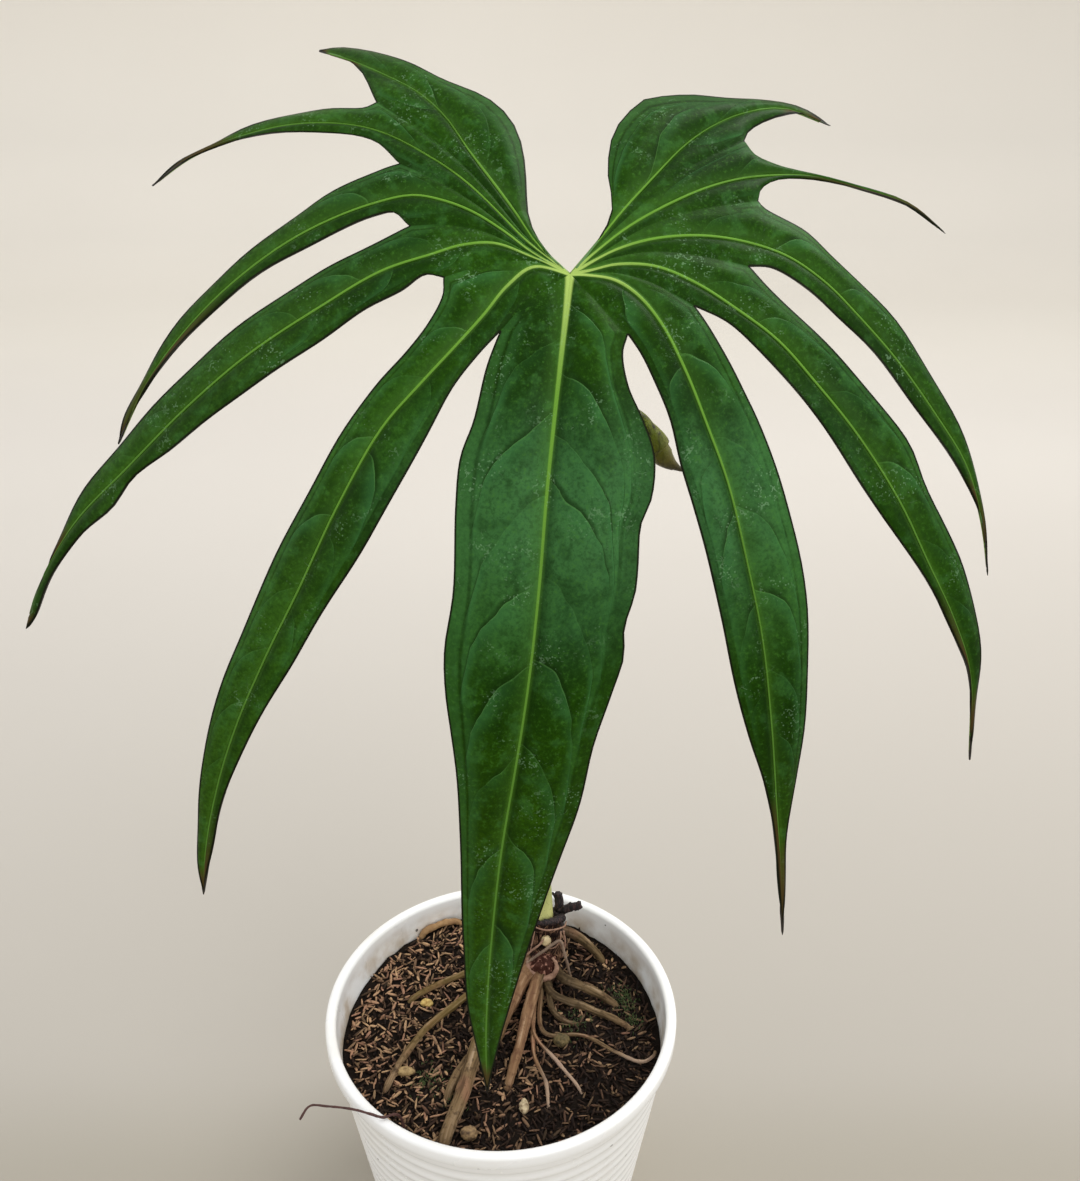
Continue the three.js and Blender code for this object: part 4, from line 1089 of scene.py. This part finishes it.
# %% [markdown]
# ## Dry remains
# The old sheath is a dark collar with a split stub that stands up and a flat one that lies to the right. Both
# are folded scraps made of tubes, and the one that lies to the right is pressed flat. The two dead rootlets
# are thin and kinked.

# %% Dry sheath
SCRAPS = [  # route, half widths, sides and rings
    ([(27.5, 44, 157), (28.5, 45, 165), (29.5, 46, 171)], [4, 4.6, 3.4], 24, 30),
    ([(30.2, 46.5, 164), (30.2, 47.2, 173), (29.9, 48.4, 181)], [2.8, 2.7, 1.9], 20, 30),
    ([(32, 42, 170), (28.5, 38, 171.6), (23.1, 35.4, 172.4), (17, 36.4, 170.8)], [2.4, 2, 1.7, 0.8], 16, 40),
    ([(30.5, 45, 171), (35.5, 44, 174.6), (42.2, 44, 176.6)], [2.3, 2.9, 2.3], 20, 30),
    ([(29.5, 47.5, 178), (27.8, 47.6, 180.2), (26.6, 47.6, 182.2)], [1.0, 0.8, 0.4], 10, 14),
]
SIDE_FLAP, FLAP_MIDDLE = 3, 0.0443
scraps = [tube(*scrap) for scrap in SCRAPS]
for vertex in scraps[SIDE_FLAP].data.vertices:
    vertex.co.y = FLAP_MIDDLE + (vertex.co.y - FLAP_MIDDLE) * 0.55
for seed, scrap in enumerate(scraps, 1):
    roughen(roughen(scrap, 3, 0.7, (0.6, 0.6, 3), seed), 1.0, 0.25, seed=seed)
dry_skin = Finish("dry_skin", 0.7)
grain = dry_skin.streaks((1400, 1400, 260))
dry_skin.ground(dry_skin.step(grain, 0.45, 0.75), (14, 7, 8), (84, 58, 54))
dry_skin.bump(grain, 0.0006, 0.9)
finish_piece(joined(scraps), "dry_sheaths", dry_skin, "dry_brown", "dry_sheath")

# %% Dead rootlets
ARCH = [
    (12.9, 30.5, 148.5), (21.5, 30, 157), (27.5, 30.6, 162.2), (30.2, 31.4, 163.4), (33.3, 31, 153.4),
    (36, 31.8, 138), (37, 32.5, 127),
]
rootlet_skin = speckled("rootlet_skin", 0.75, (200,), (66, 48, 40), (168, 142, 118), (700,), 0.0003, 0.7)
arch = roughen(tube(ARCH, [0.7, 0.8, 0.8, 0.7], 12, 110), 3, 0.25, seed=5)
finish_piece(arch, "arched_rootlet", rootlet_skin, "dry_brown", "dry_rootlet")

STRAY = [
    (-92, -69, 149.5), (-88, -64, 152.6), (-80, -64, 152.6), (-67, -65.5, 152.2),
    (-60, -67.5, 152), (-53, -69.5, 151.9), (-48.5, -66, 149.5), (-46, -62, 142), (-45, -60, 122),
]
stray_skin = speckled("stray_skin", 0.7, (200,), (44, 22, 20), (96, 60, 52), (700,), 0.0003, 0.7)
stray = roughen(tube(STRAY, [0.5, 0.55, 0.65, 0.7, 0.7], 10, 110), 3, 0.2, seed=6)
finish_piece(stray, "stray_rootlet_over_rim", stray_skin, "dry_brown", "stray_rootlet")

# %% [markdown]
# A bit of orange-tan root comes up against the wall at the back left and dives in again.

# %% Root at the wall
WALL_ROOT = [(-50, 64, 129), (-46, 67.5, 134.6), (-38, 71.5, 136.4), (-29, 74, 136.6), (-22, 75.5, 130)]
WALL_TANS = (96, 64, 38), (200, 162, 116)
wall_skin = speckled("wall_root_skin", 0.75, (220, 4), *WALL_TANS, (400, 4), 0.0005, 0.8, DULL)
wall_root = roughen(tube(WALL_ROOT, [1.5, 1.9, 1.8, 1.3], 14, 60), 3, 0.5, seed=15)
finish_piece(wall_root, "root_at_wall", wall_skin, "root_tan")

# %% [markdown]
# ## The pot
# A thin white plastic pot is a turned shape: one outline, spun once round. The outline goes along
# the underside, up the ribbed wall, over the rolled lip and down the plain inside. The ribs are low
# waves under a smooth band, so they catch the light as soft lines.

# %% Turning a profile
POT_HEIGHT, RIM, LIP_DEPTH, WALL, FLOOR = 150, 90, 8, 2, 3
NECK, FOOT, MOUTH = 87, 67, 84.5
RIB_PITCH, RIB_HEIGHT = 8.2, 0.5
SMOOTH_BAND = 7
WALL_STEPS = 14  # rings of points on one rib
neck_height = POT_HEIGHT - LIP_DEPTH


def inner_radius(height):
    return FOOT - WALL + (NECK - FOOT) * height / neck_height


def turned(outline, steps=128):
    """A closed solid of revolution from [radius, height] pairs in millimetres."""
    obj = mesh_piece([(r, 0, z) for r, z in outline], [])
    obj.data.edges.add(len(outline) - 1)
    for i, edge in enumerate(obj.data.edges):
        edge.vertices = (i, i + 1)
    with editing():
        bpy.ops.mesh.spin(steps=steps, angle=2 * math.pi, center=(0, 0, 0), axis=(0, 0, 1))
    merge_and_orient(obj)
    return obj


# %% Pot
outline = [(0, 0.6), (40, 0.6), (FOOT - 6, 0.6), (FOOT - 5, 0), (FOOT - 1.5, 0)]
outline += [(FOOT - 0.4, 0.5), (FOOT, 1.5)]
for height in np.arange(2.5, neck_height, RIB_PITCH / WALL_STEPS):
    radius = FOOT + (NECK - FOOT) * height / neck_height
    wave = 0.5 - 0.5 * math.cos(2 * math.pi * height / RIB_PITCH)
    ribbed = smooth_step((neck_height - SMOOTH_BAND - height) / 3) * smooth_step((height - 6) / 3)
    outline.append((radius - RIB_HEIGHT * (1 - wave**1.6) * ribbed, height))
outline += [
    (NECK + 0.2, neck_height - 0.2), (NECK + 1.2, neck_height), (RIM - 0.9, neck_height),
    (RIM - 0.25, neck_height + 0.3), (RIM, neck_height + 1), (RIM, neck_height + 3), (RIM, POT_HEIGHT - 2),
    (RIM - 0.3, POT_HEIGHT - 1), (RIM - 1.1, POT_HEIGHT - 0.25), (RIM - 2.2, POT_HEIGHT),
    (RIM - 3.4, POT_HEIGHT - 0.15), (MOUTH + 1, POT_HEIGHT - 0.6), (MOUTH + 0.3, POT_HEIGHT - 1.4),
    (MOUTH, POT_HEIGHT - 2.4), (inner_radius(neck_height), neck_height),
]
outline += [(inner_radius(height), height) for height in np.linspace(neck_height - 4, FLOOR + 2, 30)]
outline += [(inner_radius(FLOOR + 2) - 2, FLOOR), (40, FLOOR), (0, FLOOR)]
pot = turned(outline)
print("outline of the pot:", len(outline), "points")

# %% [markdown]
# Six drain holes are cut through the floor with a cylinder each.

# %% Drain holes
DRAIN_HOLES, DRAIN_RADIUS, DRAIN_CIRCLE = 6, 4, 45
DRILL_MIDDLE, DRILL_DEPTH = 1, 12
cutters = []
for i in range(DRAIN_HOLES):
    angle = 2 * math.pi * i / DRAIN_HOLES
    spot = (DRAIN_CIRCLE * math.cos(angle) * MM, DRAIN_CIRCLE * math.sin(angle) * MM, DRILL_MIDDLE * MM)
    size = {"vertices": 32, "radius": DRAIN_RADIUS * MM, "depth": DRILL_DEPTH * MM}
    bpy.ops.mesh.primitive_cylinder_add(location=spot, **size)
    cutters.append(bpy.context.object)
cutter = joined(cutters)
select_only(pot)
bpy.ops.object.modifier_add(type="BOOLEAN")
drill = pot.modifiers[-1]
drill.object = cutter
drill.operation = "DIFFERENCE"
bpy.ops.object.modifier_apply(modifier=drill.name)
bpy.data.objects.remove(cutter)
print("pot with drain holes:", len(pot.data.polygons), "faces")

# %% [markdown]
# White plastic is never quite white: it yellows a little, dust settles in broad faint stains, more
# of it near the mix inside, and splashed soil leaves small dark dots.

# %% Pot finish
pot_white = Finish("pot_white", 0.3)
stains = pot_white.step(pot_white.noise(22, 5), 0.48, 0.75)
pot_white.ground(pot_white.times(stains, 0.4), (252, 251, 248), (226, 217, 199))
pot_white.set("Roughness", pot_white.math("MULTIPLY_ADD", stains, 0.25, 0.26))
x, y, z = pot_white.parts()
radius = pot_white.math("SQRT", pot_white.math("ADD", pot_white.times(x, x), pot_white.times(y, y)))
wall_here = pot_white.math("MULTIPLY_ADD", z, (NECK - FOOT) / neck_height, (FOOT - 1.2) * MM)
inside_wall = pot_white.math("LESS_THAN", radius, wall_here)
soil_film = pot_white.step(pot_white.noise(60, 5), 0.35, 0.7)
pot_white.tint((184, 160, 126), inside_wall, pot_white.step(z, 0.148, 0.133), soil_film, 0.85)
dots = pot_white.math("LESS_THAN", pot_white.cells(95), 0.085)
rare = pot_white.math("GREATER_THAN", pot_white.noise(34, 2), 0.58)
pot_white.tint((52, 42, 34), dots, rare, 0.85)
pot_white.bump(pot_white.noise(120), 0.0002, 0.25)
finish_piece(pot, "white_pot", pot_white, "white_plastic", "pot")
bpy.ops.object.shade_smooth_by_angle(angle=math.radians(40))

# %% [markdown]
# ## The potting mix
# Under the husks lies dark crumbly mix. It is a plug that fills the pot, turned as the pot is, with
# a top that is mounded, heaped towards the back and under the right roots, and crumbled by noise.

# %% Mix
SOIL_LEVEL, SOIL_MOUND, SOIL_HEAP = 128, 3, 7
GAP = 0.3
mix_side = inner_radius(SOIL_LEVEL) - GAP


def mix_height(x, y):
    heap = SOIL_HEAP * (max(0, y) / mix_side) ** 1.5
    under_roots = 5 * math.exp(-(((x - 40) / 17) ** 2) - ((y - 8) / 14) ** 2)
    return SOIL_LEVEL + heap + under_roots + SOIL_MOUND * max(0, 1 - (x * x + y * y) / mix_side**2)


def crumble(x, y):
    spot = Vector((x, y, 0))
    return 1.1 * noise.noise(spot / 9) + 0.7 * noise.noise(spot / 3.5) + 0.35 * noise.noise(spot / 1.5)


outline = [(0, FLOOR + GAP), (inner_radius(5) - 3, FLOOR + GAP), (inner_radius(5) - GAP, FLOOR + 2 + GAP)]
outline += [(inner_radius(z) - GAP, z) for z in range(20, SOIL_LEVEL, 12)]
outline += [(r, SOIL_LEVEL) for r in np.linspace(mix_side, 0, 90)]
mix = turned(outline, 200)
for vertex in mix.data.vertices:
    if vertex.co.z > (SOIL_LEVEL - 0.5) * MM:
        x, y = vertex.co.x / MM, vertex.co.y / MM
        vertex.co.z = (mix_height(x, y) - 0.8 + crumble(x, y)) * MM
mix_dark = Finish("mix_dark", 0.95, DULL)
grit = mix_dark.noise(320, 5)
mix_dark.ground(grit, (6, 4, 3), (34, 25, 18))
mix_dark.bump(grit, 0.001, 1.0)
finish_piece(mix, "mix_bed", mix_dark, "potting_mix", "potting_mix")

# %% [markdown]
# The mix is covered with husks of grain, a few thousand of them. One husk is modelled, a small
# pointed boat, and copied by rule: the spots follow a sunflower spiral with a little chance in place,
# turn, slope and size. Each copy keeps two numbers of its own that the finish turns into its colour.


# %% One husk
def shape_of(obj):
    """The points and faces of a small object, which is taken away again."""
    points = np.array([vertex.co for vertex in obj.data.vertices])
    faces = [tuple(face.vertices) for face in obj.data.polygons]
    bpy.data.objects.remove(obj)
    return points, faces


bpy.ops.mesh.primitive_uv_sphere_add(segments=6, ring_count=5, radius=0.5)
with editing():
    bpy.ops.transform.rotate(value=math.radians(90), orient_axis="Y", center_override=(0, 0, 0))
husk_points, husk_faces = shape_of(bpy.context.object)
husk_points[:, 2] -= 0.6 * husk_points[:, 1] ** 2
print("one husk:", len(husk_faces), "faces")

# %% Husks over the mix
HUSKS = 3300
GOLDEN = math.pi * (3 - math.sqrt(5))


def turn_matrix(yaw, pitch, roll):
    cy, sy, cp, sp, cr, sr = [f(a) for a in (yaw, pitch, roll) for f in (math.cos, math.sin)]
    yawed = np.array([[cy, -sy, 0], [sy, cy, 0], [0, 0, 1]])
    pitched = np.array([[cp, 0, sp], [0, 1, 0], [-sp, 0, cp]])
    rolled = np.array([[1, 0, 0], [0, cr, -sr], [0, sr, cr]])
    return yawed @ pitched @ rolled


def scattered(shape, shape_faces, placed):
    """Copies of one small shape: placed holds spot, size, turns and two numbers for the finish."""
    corners = sum(len(face) for face in shape_faces)
    points, faces, values = [], [], []
    for i, (spot, size, turns, tone) in enumerate(placed):
        points.append((shape * size) @ turn_matrix(*turns).T + spot)
        faces.extend([tuple(k + i * len(shape) for k in face) for face in shape_faces])
        values.append(np.tile(tone, (corners, 1)))
    return mesh_piece(np.vstack(points), faces, {"tone": np.vstack(values)})


chance = random.Random(4)
placed = []
for i in range(HUSKS):
    radius = (mix_side - 2.2) * math.sqrt((i + 0.5) / HUSKS)
    angle = i * GOLDEN + 4
    x = radius * math.cos(angle) + chance.uniform(-1.5, 1.5)
    y = radius * math.sin(angle) + chance.uniform(-1.5, 1.5)
    if math.hypot(x, y) > mix_side - 2.4:
        continue
    size = np.array([chance.uniform(3.2, 7.8), chance.uniform(0.9, 1.8), chance.uniform(0.5, 1.0)])
    z = mix_height(x, y) - 0.6 + crumble(x, y) + chance.uniform(-0.3, 1.4)
    turns = (chance.uniform(0, math.pi), chance.gauss(0, 0.42), chance.uniform(-1.0, 1.0))
    patch = 0.5 + 0.5 * noise.noise(Vector((x / 22, y / 22, 3.0)))
    left_back = (0.14 * y - 0.22 * x) / mix_side
    lightness = min(max(0.8 * chance.random() + 0.28 * patch + left_back, 0), 1)
    placed.append((np.array([x, y, z]), size, turns, (lightness, chance.random())))
husk_skin = Finish("husk_skin", 0.7, DULL)
lightness, warmth, _ = husk_skin.parts("tone")
dark = husk_skin.mix(warmth, (18, 11, 9), (48, 33, 24))
straw = husk_skin.mix(warmth, (206, 168, 126), (170, 126, 102))
husk_skin.ground(husk_skin.step(lightness, 0.41, 1.1), dark, straw)
veins = husk_skin.noise(500)
husk_skin.tint((50, 38, 28), husk_skin.step(veins, 0.5, 0.7), 0.5)
husk_skin.bump(veins, 0.0003, 0.6)
finish_piece(scattered(husk_points, husk_faces, placed), "husks", husk_skin, "potting_mix")

# %% [markdown]
# Between the husks lie darker crumbs of bark and mix. They are small broken lumps, spread by chance.

# %% Crumbs
CRUMBS = 1500
bpy.ops.mesh.primitive_ico_sphere_add(subdivisions=1, radius=0.5)
crumb_points, crumb_faces = shape_of(bpy.context.object)
chance = random.Random(9)
placed = []
for _ in range(CRUMBS):
    radius = (mix_side - 2) * math.sqrt(chance.random())
    angle = chance.uniform(0, 2 * math.pi)
    x, y = radius * math.cos(angle), radius * math.sin(angle)
    size = chance.uniform(0.8, 2.4) * np.array([1, chance.uniform(0.5, 0.9), chance.uniform(0.4, 0.8)])
    z = mix_height(x, y) + crumble(x, y) + chance.uniform(-0.4, 0.5)
    turns = (chance.uniform(0, 6), chance.uniform(-1, 1), chance.uniform(-1, 1))
    placed.append((np.array([x, y, z]), size, turns, (chance.random() ** 2, chance.random())))
crumb_skin = Finish("crumb_skin", 0.9, DULL)
crumb_skin.ground(crumb_skin.parts("tone")[0], (20, 14, 11), (96, 74, 54))
crumb_skin.bump(crumb_skin.noise(600), 0.0005, 0.8)
finish_piece(scattered(crumb_points, crumb_faces, placed), "crumbs", crumb_skin, "potting_mix")

# %% [markdown]
# ## Pebbles and lumps
# Five lumps lie on the mix: a round tan pebble, a flat straw-coloured chunk, a yellow one, a pale
# long one and a mossy clod. Each is a ball pressed to its size and dented by noise.

# %% Pebbles
PEBBLES = {  # centre, half sizes, light and dark colour
    "pebble_brown": ((-14, -62, 131), (4.2, 3.6, 3.2), (150, 122, 84), (82, 62, 42)),
    "pebble_chunk": ((-48, -26, 131), (4.6, 2.6, 2.6), (176, 148, 100), (112, 88, 58)),
    "pebble_yellow": ((-41, 18, 131.5), (3.4, 2.4, 2.2), (214, 186, 112), (160, 122, 60)),
    "pebble_pale": ((12, -47, 131.5), (2.4, 4.2, 2.2), (196, 178, 142), (120, 98, 70)),
    "pebble_lump": ((31, -8, 133), (4.4, 3.8, 3), (104, 88, 52), (58, 50, 26)),
}
for number, (name, (centre, half, light, dark)) in enumerate(PEBBLES.items()):
    bpy.ops.mesh.primitive_ico_sphere_add(subdivisions=5, radius=1)
    lump = bpy.context.object
    for vertex in lump.data.vertices:
        vertex.co = Vector([(centre[axis] + vertex.co[axis] * half[axis]) * MM for axis in range(3)])
    skin = Finish(name + "_skin", 0.8)
    grit = skin.noise(450, 4)
    skin.ground(skin.step(grit, 0.35, 0.7), light, dark)
    skin.bump(grit, 0.0005, 0.8)
    roughen(roughen(lump, 3.5, 0.5, seed=number), 1.2, 0.2, seed=number + 9)
    finish_piece(lump, name + "_dressed", skin, "pebble_tan", name)

# %% [markdown]
# ## Moss
# Thin moss grows on the damp side, at the right behind the roots and in two patches at the left. Each
# tuft is a spray of tiny pointed shoots.

# %% Moss
MOSS = [((64, 21), 9, 260), ((70, 8), 6, 90), ((-36, -30), 9, 110), ((-20, -44), 6, 70), ((38, 2), 8, 80)]
chance = random.Random(33)
shoots = []
for (cx, cy), size, count in MOSS:
    for _ in range(count):
        x, y = cx + chance.gauss(0, size / 2), cy + chance.gauss(0, size / 2)
        if math.hypot(x, y) > mix_side - 2.5:
            continue
        z = mix_height(x, y) + crumble(x, y)
        lean = np.array([chance.gauss(0, 0.7), chance.gauss(0, 0.7), chance.uniform(0.8, 2.0)])
        foot = np.array([x, y, z - 0.4])
        shoots.append(strand([foot, foot + lean * 0.6, foot + lean * 1.2], [0.22, 0.3, 0.06], 3))
moss_green = Finish("moss_green", 0.8)
moss_green.ground(moss_green.noise(300, 2), (34, 50, 28), (96, 112, 58))
finish_piece(strands_piece(shoots), "moss", moss_green, "potting_mix")
